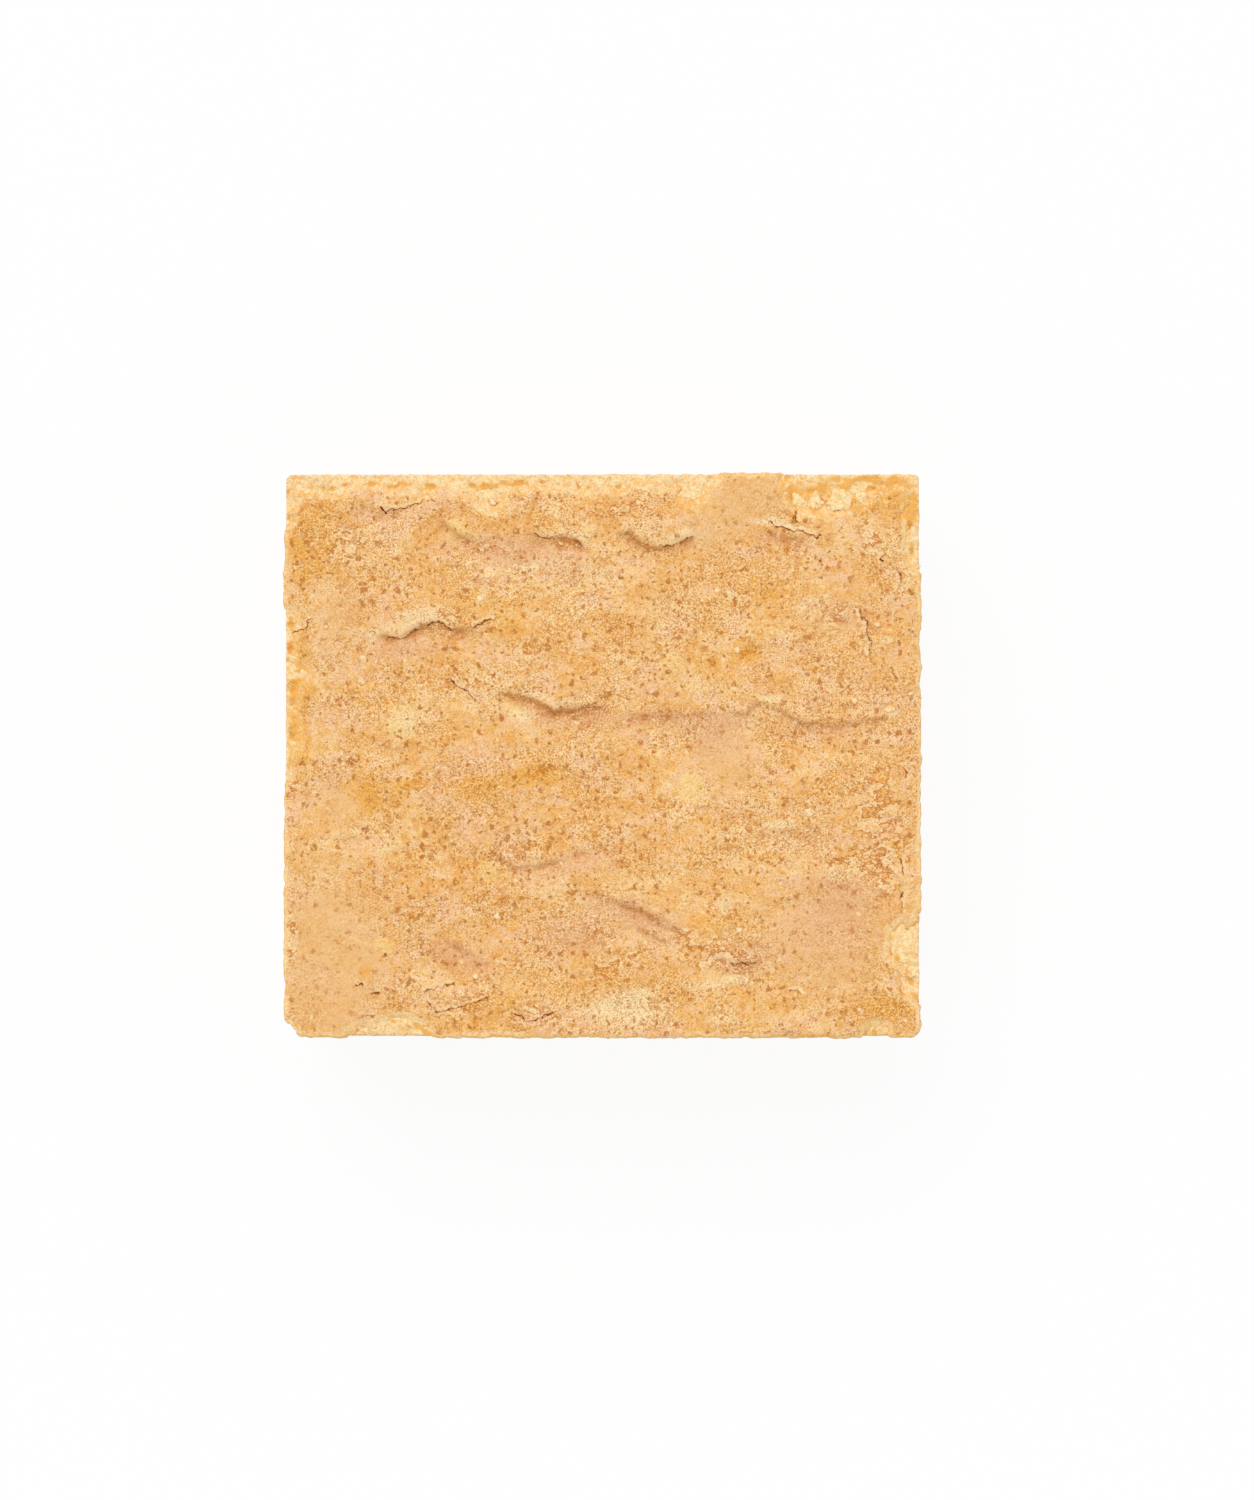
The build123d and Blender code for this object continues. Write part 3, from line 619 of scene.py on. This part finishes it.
def make_base_crust():
    """The browned skin underneath: flat where it rests, with small pores, and a rough rim."""
    piece = clay("base_crust", BASE_GRID)
    middles, normals = faces_of(piece)
    hidden = (normals[:, 2] > 0.95) & (inset(middles) > UNSEEN)
    edit(piece, hidden, bpy.ops.mesh.decimate, ratio=UNSEEN_KEPT)
    points, normals = shape_of(piece)
    sideways = normals * [1, 1, 0] * ease(0.2, 0.8, face_length(normals))[:, None]
    ragged = 0.12 * cloud(points, 1.1, 41, 3) - 0.04
    pores = ease(0.25, 0.7, cloud(points, 1.3, 42, 2)) + ease(0.3, 0.8, cloud(points, 4, 43, 2))
    under = ease(0.6, 0.95, -normals[:, 2])
    moved = rounded(points + sideways * ragged[:, None], CORNER)
    moved[:, 2] += 0.16 * under * pores
    move(piece, moved)
    write_fields(piece, pores=under * pores)
    return piece


def make_lump(node):
    """A pale lump: its cap widens to meet the skin round the window, level with it and softly domed."""
    piece = clay(node, LUMP_GRID)
    points, normals = shape_of(piece)
    middle = (points.min(0) + points.max(0)) / 2
    seed = 50 + LUMPS.index(node)
    moved = points + normals * (0.08 * cloud(points, 1.2, seed, 2))[:, None]
    if WINDOWS[node]:
        outward = (points - middle) * [1, 1, 0]
        away = face_length(outward)
        neck = points[:, 2] > core_top + 0.05
        spread = neck * NECK_SPREAD * ease(0.5, 1, away / WINDOWS[node])
        moved += outward / np.maximum(away, 0.1)[:, None] * spread[:, None]
        height, fields = skin(moved)
        cap = (points[:, 2] > crust_top - 0.35) & (normals[:, 2] > 0.1)
        dome = 0.05 - 0.11 * ease(0.3, 1, away / WINDOWS[node])
        moved[cap, 2] = (crust_top + height + dome)[cap]
        window, _ = window_gaps(moved)
    else:
        _, fields = skin(moved)
        window = np.full(len(moved), 9.0)
    move(piece, moved)
    keep_fields(piece, fields, np.full(len(moved), 9.0), window)
    return piece


def make_bits(node, slot, seed):
    """Flakes, crumbs or grains: each broken bit has a torn outline and a painted shade, a warmer colour, on
    its lower flanks.
    """
    grid, roughness, swell, rise = BITS[slot]
    piece = clay(node, grid)
    points, normals = shape_of(piece)
    torn = cloud(points, 0.5, seed, 3) + 0.6 * cloud(points, 0.22, seed + 1, 2)
    torn += 2 * (cells(points, 0.7, seed + 4) - 0.4)
    moved = points + normals * [1, 1, rise] * (swell + roughness * torn)[:, None]
    if slot == "flake":
        raised = ease(core_top, core_top + 0.5, points[:, 2])
        tilt = FLAKE_TILT * cloud(flat(points), 4, seed + 2, 1)
        moved[:, 2] += raised * (FLAKE_RISE + tilt + 0.05 * cloud(flat(points), 0.4, seed + 3, 2))
        moved[:, 2] = np.minimum(moved[:, 2], block_top)
    if slot == "grain":
        height, _ = skin(moved)
        above = np.maximum(moved[:, 2] - crust_top, -0.1)
        moved[:, 2] = np.minimum(crust_top + height + GRAIN_FLATTEN * above - 0.03, block_top + 0.05)
    move(piece, moved)
    height = moved[:, 2] - np.quantile(moved[:, 2], 0.1)
    # Painted shade on the lower, steeper flanks of each bit.
    write_fields(piece, flank=ease(0.7, 0.2, height / height.max()) * ease(0.9, 0.3, normals[:, 2]))
    return piece


def skin_outline():
    """The CAD skin's upper face as triangles over the plane, for telling what it covers."""
    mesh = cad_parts["top_crust"].data
    mesh.calc_loop_triangles()
    points = points_of(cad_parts["top_crust"])
    corners = np.array([t.vertices[:] for t in mesh.loop_triangles])
    level = points[corners][:, :, 2].min(1) > crust_top - 0.01
    return points[corners[level]][:, :, :2].round(4)


def rim_marks(triangles):
    """Marks a short step apart along the outline of the skin's upper face, apart from its windows."""
    uses = {}
    for corners in triangles.tolist():
        for start, end in zip(corners, corners[1:] + corners[:1]):
            side = tuple(sorted((tuple(start), tuple(end))))
            uses[side] = uses.get(side, 0) + 1
    marks = []
    for (start, end), count in uses.items():
        if count == 1:
            steps = max(int(math.dist(start, end) / MARK_STEP), 1)
            marks.extend(np.linspace(start, end, steps + 1))
    marks = np.column_stack([marks, np.zeros(len(marks))])
    return marks[window_gaps(marks)[0] > 0.5]


# The outline of the skin, a tree to ask how far a point lies from it, and marks along it.
OUTLINE = skin_outline()
CORNERS = [(x, y, 0.0) for x, y in OUTLINE.reshape(-1, 2)]
COVER = BVHTree.FromPolygons(CORNERS, [(i, i + 1, i + 2) for i in range(0, len(CORNERS), 3)])
RIM_MARKS = rim_marks(OUTLINE)


def skin_depth(points):
    """How far in under the CAD skin's edge each point lies, over the face: negative outside it."""
    outside = np.array([COVER.find_nearest((x, y, 0.0))[3] for x, y in points[:, :2]])
    inside, _ = nearest(points, RIM_MARKS)
    return np.where(outside < 1e-4, inside, -outside)


# ---- Materials ----


def linear(colour):
    """A colour as seen on a screen, red, green and blue from 0 to 255, as the shader wants it."""
    shares = [value / 255 for value in colour]
    return (*[s / 12.92 if s <= 0.04045 else ((s + 0.055) / 1.055) ** 2.4 for s in shares], 1.0)


class Wire:
    """A node's output, whose sums and products add Math nodes to its tree."""

    def __init__(self, graph, socket):
        self.graph = graph
        self.socket = socket

    def beside(self, name):
        """Another output of the same node."""
        return Wire(self.graph, self.socket.node.outputs[name])

    def maths(self, operation, *others):
        """A Math node on this wire and the others."""
        return self.graph.maths(operation, self, *others)

    def __rsub__(self, other):
        return self.graph.maths("SUBTRACT", other, self)

    __add__ = __radd__ = partialmethod(maths, "ADD")
    __mul__ = __rmul__ = partialmethod(maths, "MULTIPLY")
    __sub__ = partialmethod(maths, "SUBTRACT")
    __truediv__ = partialmethod(maths, "DIVIDE")
    __abs__ = partialmethod(maths, "ABSOLUTE")


class Graph:
    """The node tree of a material or of the world."""

    def __init__(self, owner):
        owner.use_nodes = True
        self.tree = owner.node_tree

    def node(self, kind, settings, sockets, output=0):
        """Adds a node, sets it up, then gives its sockets their values or links, and returns one output."""
        made = self.tree.nodes.new(kind)
        for name, value in settings.items():
            setattr(made, name, value)
        for name, value in sockets.items():
            self.give(made.inputs[name], value)
        return Wire(self, made.outputs[output])

    def maths(self, operation, *values):
        """A Math node on numbers and wires."""
        return self.node("ShaderNodeMath", {"operation": operation}, dict(enumerate(values)))

    def give(self, socket, value):
        """Links a wire to a socket, or sets the socket's own value."""
        if isinstance(value, Wire):
            self.tree.links.new(value.socket, socket)
        else:
            socket.default_value = linear(value) if socket.type == "RGBA" else value

    def show_white(self, usual, white, share, end):
        """Shows white in place of the usual shader to the camera and in gloss and glass."""
        camera = self.node("ShaderNodeLightPath", {}, {}, "Is Camera Ray")
        seen = camera.maths("MAXIMUM", camera.beside("Is Glossy Ray"))
        seen = seen.maths("MAXIMUM", camera.beside("Is Transmission Ray"))
        mixed = self.node("ShaderNodeMixShader", {}, {0: seen * share, 1: usual, 2: white})
        self.give(self.tree.nodes[end].inputs["Surface"], mixed)


class Finish(Graph):
    """A material on a Principled shader: colours laid on in layers, and the patterns they follow."""

    def __init__(self, name, colour, roughness, specular=0.25):
        self.colour = colour
        self.material = bpy.data.materials.new(name)
        super().__init__(self.material)
        self.shader = self.tree.nodes["Principled BSDF"]
        self.give(self.shader.inputs["Roughness"], roughness)
        self.give(self.shader.inputs["Specular IOR Level"], specular)
        place = self.node("ShaderNodeTexCoord", {}, {}, "Object")
        self.place = self.vector("SCALE", place, Scale=1 / MM)

    def vector(self, operation, first, second=None, **named):
        """A vector sum, product or scaling."""
        sockets = {0: first} | ({} if second is None else {1: second}) | named
        return self.node("ShaderNodeVectorMath", {"operation": operation}, sockets)

    def field(self, name):
        """A number that the piece keeps at its vertices."""
        return self.node("ShaderNodeAttribute", {"attribute_name": name}, {}, "Fac")

    def step(self, value, low, high):
        """0 below low, 1 above high and a smooth S between; low may be the larger."""
        sockets = {"Value": value, "From Min": low, "From Max": high}
        return self.node("ShaderNodeMapRange", {"interpolation_type": "SMOOTHSTEP"}, sockets)

    def clouds(self, size, detail=3.0, shift=0.0, stretch=None, rough=0.55):
        """Noise of a given grain in millimetres, from 0 to 1."""
        place = self.vector("ADD", self.place, (shift, shift, shift))
        if stretch:
            place = self.vector("MULTIPLY", place, stretch)
        sockets = {"Vector": place, "Scale": 1 / size, "Detail": detail, "Roughness": rough}
        return self.node("ShaderNodeTexNoise", {}, sockets)

    def dots(self, size, smallest, largest, keep, shift=0.0, bend=0.18, across="3D"):
        """Uneven dots of two radii or between, in a share of cells; "2D" lays them flat on the face."""
        sockets = {"Vector": self.place, "Scale": 1.4 / size, "Detail": 2.0}
        warp = self.vector("SUBTRACT", self.node("ShaderNodeTexNoise", {}, sockets, 1), (0.5, 0.5, 0.5))
        warp = self.vector("SCALE", warp, Scale=2 * bend * size)
        place = self.vector("ADD", self.vector("ADD", self.place, warp), (shift, shift, shift))
        sockets = {"Vector": place, "Scale": 1 / size}
        away = self.node("ShaderNodeTexVoronoi", {"voronoi_dimensions": across}, sockets, "Distance")
        chance = self.node("ShaderNodeSeparateColor", {}, {0: away.beside("Color")}, "Red")
        radius = smallest / size + chance.beside("Green") * ((largest - smallest) / size)
        return self.step(away / radius, 1.15, 0.55) * self.step(keep - chance, -0.04, 0.04)

    def mix(self, share, first, second):
        """One colour turning into another by a share."""
        return self.node("ShaderNodeMix", {"data_type": "RGBA"}, {0: share, 6: first, 7: second}, 2)

    def cover(self, share, colour):
        """Lays one more colour on by a share."""
        self.colour = self.mix(share, self.colour, colour)

    def tint(self, colour, most, value, low, high):
        """Lays a colour on as a value goes from low to high, and no more of it than most."""
        self.cover(self.step(value, low, high) * most, colour)

    def finish(self, relief, depth):
        """Joins the colour and the fine relief, depth millimetres high, to the shader."""
        sockets = {"Strength": 1.0, "Distance": depth * MM, "Height": relief}
        self.give(self.shader.inputs["Base Color"], self.colour)
        self.give(self.shader.inputs["Normal"], self.node("ShaderNodeBump", {}, sockets, "Normal"))
        return self.material


# The skin's colours, named for where they lie.
TAN = (246, 192, 124)
PALE_TAN = (254, 213, 150)
DEEP_TAN = (244, 177, 90)
ROSE_TAN = (250, 202, 158)
ORANGE_TAN = (210, 136, 60)
FRECKLE = (194, 124, 58)
GRIT = (194, 130, 62)
PINK_TONE_AND_SHADE = (234, 178, 134)
GOLDEN = (241, 174, 76)
RUST = (204, 130, 62)
UMBER = (178, 98, 38)
CREASE_SHADE = (198, 124, 58)
PIT = (200, 118, 44)
CRACK_SHADE = (132, 52, 0)
CREAM = (255, 228, 176)
YELLOW = (253, 214, 138)
SEAM = (238, 176, 84)
BEIGE = (240, 190, 130)
ORANGE = (206, 126, 40)
FLANK_SHADE = (246, 186, 102)
# The core's.
PALE_CRUMB = (250, 208, 142)
CRUMB = (244, 192, 120)
DEEP_CRUMB = (230, 172, 94)
GOLD_CRUMB = (224, 162, 88)
HOLLOW_SHADE = (214, 146, 74)
PORE_SHADE = (196, 126, 58)
TOAST = (210, 146, 80)
# The base's.
BROWN = (222, 160, 92)
DEEP_BROWN = (204, 138, 72)
DARK_BROWN = (184, 116, 56)
PALE_BROWN = (236, 184, 118)
BARE_PORE = (240, 196, 130)
BURNT = (166, 98, 46)


def crumbly(f):
    """Broken crumb: cream and pale grains, with a few golden hollows."""
    grain, fine = f.clouds(0.6, 3, 61, rough=0.65), f.clouds(0.2, 2, 64, rough=0.7)
    colour = f.mix(f.step(grain, 0.42, 0.54), CREAM, PALE_TAN)
    colour = f.mix(f.step(fine, 0.5, 0.62) * 0.4, colour, ORANGE_TAN)
    colour = f.mix(f.step(fine, 0.48, 0.38) * 0.6, colour, CREAM)
    return f.mix(f.step(grain, 0.58, 0.67) * 0.6, colour, SEAM)


def crust_finish(name):
    """The freckled top skin, turning yellow over the lumps and crumbly at its broken edges."""
    f = Finish(name, PALE_TAN, roughness=0.8, specular=0.06)
    smooth, golden, orange, dark_stain_and_shade, pit = map(f.field, ("smooth", "golden", "orange", "dark_stain_and_shade", "pit"))
    patchy = f.clouds(2.4, 3, 5, (0.7, 1, 1))
    mottle = f.clouds(0.8, 3, 27, rough=0.6)
    fine = f.clouds(0.3, 3, 9, rough=0.7)
    sand = f.clouds(0.16, 2, 14, rough=0.75)
    crisp = f.clouds(0.24, 3, 91, rough=0.7)
    warm = f.step(patchy, 0.44, 0.58)
    f.cover(f.step(f.clouds(7, 2), 0.42, 0.58), TAN)
    f.tint(DEEP_TAN, 0.62, patchy, 0.49, 0.59)
    f.tint(ROSE_TAN, 0.75, patchy, 0.47, 0.38)
    f.tint(DEEP_TAN, 0.65, mottle, 0.5, 0.62)
    f.tint(ROSE_TAN, 0.6, mottle, 0.47, 0.36)
    f.tint(BEIGE, 0.65, smooth, 0.1, 0.8)
    # Pinkish tone, and painted shade below the wrinkles.
    f.tint(PINK_TONE_AND_SHADE, 0.8, f.field("pink_tone_and_shade"), 0.05, 1)
    # Golden tone, and painted shade in the hollows at the back rim.
    f.tint(GOLDEN, 0.9, golden * (0.3 + 1.4 * mottle), 0.1, 0.9)
    window = f.step(f.field("window") + (mottle - 0.5) * 0.9, 0.3, 0.85)
    f.cover(window * 0.75, YELLOW)
    # Cream: pale flecks and patches, and painted highlight along the ridges of the wrinkles.
    f.tint(CREAM, 0.85, f.field("pale") * (0.2 + 1.2 * mottle), 0.12, 0.8)
    calm = 1 - 0.75 * f.step(smooth, 0.1, 0.8)
    density = (f.step(f.clouds(4.5, 2, 17), 0.36, 0.56) * 0.7 + f.field("dense")) * (0.4 + 0.6 * calm)
    # Painted shade in the creases of the wrinkles.
    f.tint(CREASE_SHADE, 0.85, f.field("crease_shade") * (0.5 + fine), 0.08, 0.9)
    # Sand: fine grains all over, more of them orange where the skin is warm and cream where it is pale.
    busy = f.step(f.clouds(3.4, 3, 37, (0.8, 1, 1)), 0.4, 0.58)
    grainy = (0.3 + 0.7 * calm) * (1 - 0.4 * window) * (0.5 + 0.5 * busy)
    f.tint(ORANGE_TAN, grainy * (0.16 + 0.36 * warm), fine, 0.51, 0.62)
    f.tint(CREAM, grainy * (0.44 - 0.2 * warm), fine, 0.48, 0.38)
    f.tint(GRIT, grainy * 0.82, sand, 0.53, 0.59)
    f.tint(CREAM, grainy * 0.66, sand, 0.46, 0.4)
    # Freckles: rounder spots in two sizes, then small uneven clumps.
    spots = f.dots(1.05, 0.13, 0.3, 0.18 + 0.34 * density, 47, 0.5, "2D")
    f.tint(FRECKLE, spots * (0.48 + 0.47 * calm), crisp, 0.36, 0.5)
    specks = f.dots(0.6, 0.07, 0.16, 0.16 + 0.3 * density, 83, 0.5, "2D")
    f.cover(specks * (0.35 + 0.55 * calm), FRECKLE)
    clump = f.step(f.clouds(0.45, 4, 41, rough=0.7) + 0.03 * density, 0.625, 0.685)
    f.cover(clump * grainy * 0.8, ORANGE)
    # Ticks, short fine scratches and scale edges, then broad faint stains and a few pale grains.
    ticks = f.step(abs(f.clouds(0.7, 4, 97, (0.7, 1, 1), rough=0.7) - 0.5), 0.035, 0.01)
    f.tint(RUST, ticks * grainy * 0.8, f.clouds(1, 2, 58) + 0.04 * density, 0.56, 0.63)
    f.tint(ORANGE, grainy * 0.4, f.clouds(0.75, 4, 51, rough=0.65) + 0.08 * density, 0.6, 0.72)
    f.cover(f.dots(1.4, 0.08, 0.2, 0.16, 71, 0.3, "2D") * 0.7, CREAM)
    # Single marks, ragged at their edges: orange stains, and brown marks that are partly stains and partly
    # painted shade in creases and below cracks.
    f.tint(ORANGE, f.step(orange, 0.1, 0.6) * 0.85, orange * 0.5 + (crisp - 0.5) * 3, 0.4, 0.65)
    f.tint(UMBER, f.step(dark_stain_and_shade, 0.1, 0.6) * 0.8, dark_stain_and_shade * 0.55 + (crisp - 0.5) * 2.6, 0.3, 0.6)
    # Scaly places: thin torn lines that meander, brown on one side and cream on the other.
    shards = f.clouds(1.3, 4, 33, (0.75, 1, 1), rough=0.68)
    scaly = f.step(f.field("scaly") * 0.8 + (patchy - 0.5) * 1.2 + (mottle - 0.5) * 0.8, 0.2, 0.55)
    f.tint(CREAM, scaly * 0.65, abs(shards - 0.54), 0.045, 0.02)
    f.tint(PIT, scaly * 0.8, abs(shards - 0.49), 0.036, 0.014)
    # Pits, with a pale torn rim.
    torn = f.step(pit, 0.05, 0.3)
    pitted = pit * 0.8 + (crisp - 0.5) * 3.2 + (mottle - 0.5) * 1.4
    f.tint(CREAM, torn * 0.4, pitted, 0.1, 0.3)
    f.tint(PIT, torn * 0.9, pitted, 0.55, 0.7)
    # The broken rim shows bare crumb, golden in places.
    torn_gold = f.step(golden * (4.6 * fine - 1.6), 0.15, 0.95) * 0.85
    ragged = f.field("broken") + (patchy - 0.5) * 1.3 + (fine - 0.5) * 1.1
    f.tint(f.mix(torn_gold, crumbly(f), GOLDEN), 0.9, ragged, 0.5, 0.7)
    # Painted shade: a warmer colour on the steep faces of the broken rim.
    f.tint(FLANK_SHADE, f.field("flank"), mottle + fine, 0.75, 1.2)
    # Cracks: a thin broken line of painted shade, darker where the crack is deeper, that wanders a little
    # from its route, brown beside it, and a cream torn lip.
    off = f.field("crack") + (f.clouds(0.4, 3, 23) - 0.5) * 0.7
    whole = f.field("crack_depth") + (mottle - 0.5) * 1.4
    width = f.clouds(0.6, 2, 29) * 0.2 - 0.045
    f.tint(CREAM, f.step(whole, 0.1, 0.5) * (1.5 * patchy - 0.25), abs(off - 0.22), 0.2, 0.06)
    f.tint(RUST, f.step(whole, 0.15, 0.5) * 0.4, abs(off), 0.2, 0.04)
    f.tint(CRACK_SHADE, f.step(whole, 0.2, 0.5) * f.step(whole, -0.6, 0.9), abs(off) / width, 1.2, 0.6)
    return f.finish(fine * 0.7 + sand * 0.45 + mottle * 0.5 - clump * 0.2, 0.11)


def crumb_finish():
    """The bare crumbly core: pale inside, browned at its foot, with painted shade in its pores and dents, and
    cream on its ledges with a painted golden shade along the seams.
    """
    f = Finish("bare_crumb", PALE_CRUMB, roughness=0.85, specular=0.18)
    grain, fine = f.clouds(0.9, 4, 4), f.clouds(0.25, 3, 8)
    f.cover(f.step(f.clouds(5, 2, 2), 0.35, 0.65), CRUMB)
    f.tint(DEEP_CRUMB, 0.7, grain, 0.45, 0.68)
    f.tint(CREAM, 0.7, grain, 0.46, 0.28)
    # Painted shade in the dents and pits of the walls.
    f.tint(HOLLOW_SHADE, 0.65, f.field("hollow"), 0.2, 0.95)
    f.cover(f.dots(1.4, 0.12, 0.34, 0.22, 13) * 0.6, RUST)
    f.tint(GOLD_CRUMB, 0.3, fine, 0.52, 0.72)
    # Pores: dots of painted shade, which the relief presses in as well.
    pores = f.dots(1.1, 0.1, 0.3, 0.35, 37)
    f.cover(pores * 0.45, PORE_SHADE)
    f.tint(TOAST, 0.85, f.field("toasted") + (grain - 0.5) * 2.2, 0.45, 1.05)
    torn = 3 * grain - 0.8
    # Painted golden shade along the seam under the skin's rim.
    ledge = f.mix(f.step(f.field("seam") * (0.4 + 1.2 * grain), 0.25, 0.75) * 0.9, crumbly(f), SEAM)
    ledge = f.mix(f.step(f.field("golden") * torn, 0.2, 0.9) * 0.85, ledge, GOLDEN)
    # Rust brown where the dark marks, partly painted shade, and the pits reach the ledge.
    ledge = f.mix(f.step((f.field("dark_stain_and_shade") + f.field("pit")) * torn, 0.2, 0.9) * 0.8, ledge, RUST)
    f.cover(f.step(f.field("ledge"), 0.2, 0.6), ledge)
    return f.finish(grain * 0.9 + fine * 0.6 - pores * 0.6, 0.16)


def base_finish():
    """The browned skin underneath."""
    f = Finish("browned_base", BROWN, roughness=0.7)
    grain, fine = f.clouds(1.2, 4, 3), f.clouds(0.3, 3, 7)
    f.cover(f.step(f.clouds(9, 3, 6), 0.35, 0.65), DEEP_BROWN)
    f.tint(DARK_BROWN, 0.6, grain, 0.46, 0.66)
    f.tint(PALE_BROWN, 0.5, grain, 0.45, 0.28)
    f.tint(BARE_PORE, 0.6, f.field("pores"), 0.2, 0.9)
    f.cover(f.dots(1, 0.14, 0.36, 0.45, 19) * 0.5, BURNT)
    return f.finish(grain * 0.7 + fine * 0.4, 0.1)


def bit_finish(name, light, deep):
    """Flakes, crumbs and grains: pale broken faces with golden hollows, and a painted golden shade on their
    lower flanks.
    """
    f = Finish(name, light, roughness=0.8)
    grain, fine = f.clouds(0.55, 4, 6), f.clouds(0.16, 2, 4)
    f.tint(deep, 0.9, grain, 0.46, 0.6)
    f.tint(SEAM, 0.7, grain, 0.6, 0.67)
    f.tint(CREAM, 0.6, fine, 0.48, 0.4)
    f.tint(SEAM, 0.45, fine, 0.52, 0.6)
    # Painted shade on the lower flanks.
    f.tint(FLANK_SHADE, 0.75, f.field("flank") * (0.4 + 1.2 * fine), 0.1, 0.9)
    return f.finish(grain * 0.7 + fine * 0.4, 0.06)


# ---- The pieces ----


def dress(piece, material):
    """Gives a piece its one material."""
    piece.data.materials.clear()
    piece.data.materials.append(material)


bpy.ops.object.select_all(action="DESELECT")
dress(make_top_crust(), crust_finish("freckled_crust"))
dress(make_core(), crumb_finish())
dress(make_base_crust(), base_finish())
pale_lump = crust_finish("pale_lump")
for node in LUMPS:
    dress(make_lump(node), pale_lump)
flake = bit_finish("broken_flake", (252, 228, 176), (246, 206, 140))
crumb = bit_finish("loose_crumb", (252, 224, 166), (240, 186, 106))
grain = bit_finish("pale_grain", (255, 234, 192), (250, 214, 150))
for index, node in enumerate(FLAKES):
    dress(make_bits(node, "flake", 100 + 5 * index), flake)
for index, node in enumerate(CRUMBS):
    dress(make_bits(node, "crumb", 140 + 3 * index), crumb)
dress(make_bits("surface_grains", "grain", 160), grain)


# ---- The stage: a pale floor, soft light from the back left, and a camera straight above ----
FLOOR_SIZE = 4.0
FLOOR_GAP = 0.02
FLOOR_WHITE = 0.92
FLOOR_COLOUR = (245.8, 245.8, 245.8)
WHITE = (255, 255, 255)
WORLD_FILL = 0.65
KEY_STRENGTH = 1.42
KEY_TURN = (math.radians(33), 0.0, math.radians(200))
KEY_SOFTNESS = math.radians(40)
CAMERA_LENS = 100.0
CAMERA_SENSOR = 36.0
FRAME_HEIGHT = 134.65
CAMERA_PLACE = (2.2, 0.47)


def make_floor():
    """A pale floor that looks white to the camera and keeps a faint shadow."""
    bpy.ops.mesh.primitive_plane_add(size=FLOOR_SIZE, location=(0, 0, -FLOOR_GAP * MM))
    floor = bpy.context.object
    floor.name = "floor"
    pale = Finish("pale_floor", FLOOR_COLOUR, roughness=0.9, specular=0.0)
    pale.give(pale.shader.inputs["Base Color"], pale.colour)
    white = pale.node("ShaderNodeEmission", {}, {"Strength": 1.0})
    pale.show_white(Wire(pale, pale.shader.outputs[0]), white, FLOOR_WHITE, "Material Output")
    floor.data.materials.append(pale.material)


def make_light():
    """A broad key from the back left and an even fill all round."""
    key = bpy.data.lights.new("key", "SUN")
    key.energy = KEY_STRENGTH
    key.angle = KEY_SOFTNESS
    lamp = bpy.data.objects.new("key", key)
    lamp.rotation_euler = Euler(KEY_TURN)
    bpy.context.scene.collection.objects.link(lamp)
    world = bpy.data.worlds.new("studio")
    bpy.context.scene.world = world
    studio = Graph(world)
    fill = studio.node("ShaderNodeBackground", {}, {"Color": WHITE, "Strength": WORLD_FILL})
    backdrop = studio.node("ShaderNodeBackground", {}, {"Color": WHITE, "Strength": 1.0})
    studio.show_white(fill, backdrop, 1.0, "World Output")


def make_camera():
    """A long lens straight above the face, so that the walls don't show."""
    lens = bpy.data.cameras.new("camera")
    lens.lens = CAMERA_LENS
    lens.sensor_width = CAMERA_SENSOR
    height = crust_top + FRAME_HEIGHT * CAMERA_LENS / CAMERA_SENSOR
    camera = bpy.data.objects.new("camera", lens)
    camera.location = Vector((*CAMERA_PLACE, height)) * MM
    lens.clip_start = 0.01
    bpy.context.scene.collection.objects.link(camera)
    bpy.context.scene.camera = camera


make_floor()
make_light()
make_camera()
bpy.context.scene.view_settings.view_transform = "Standard"
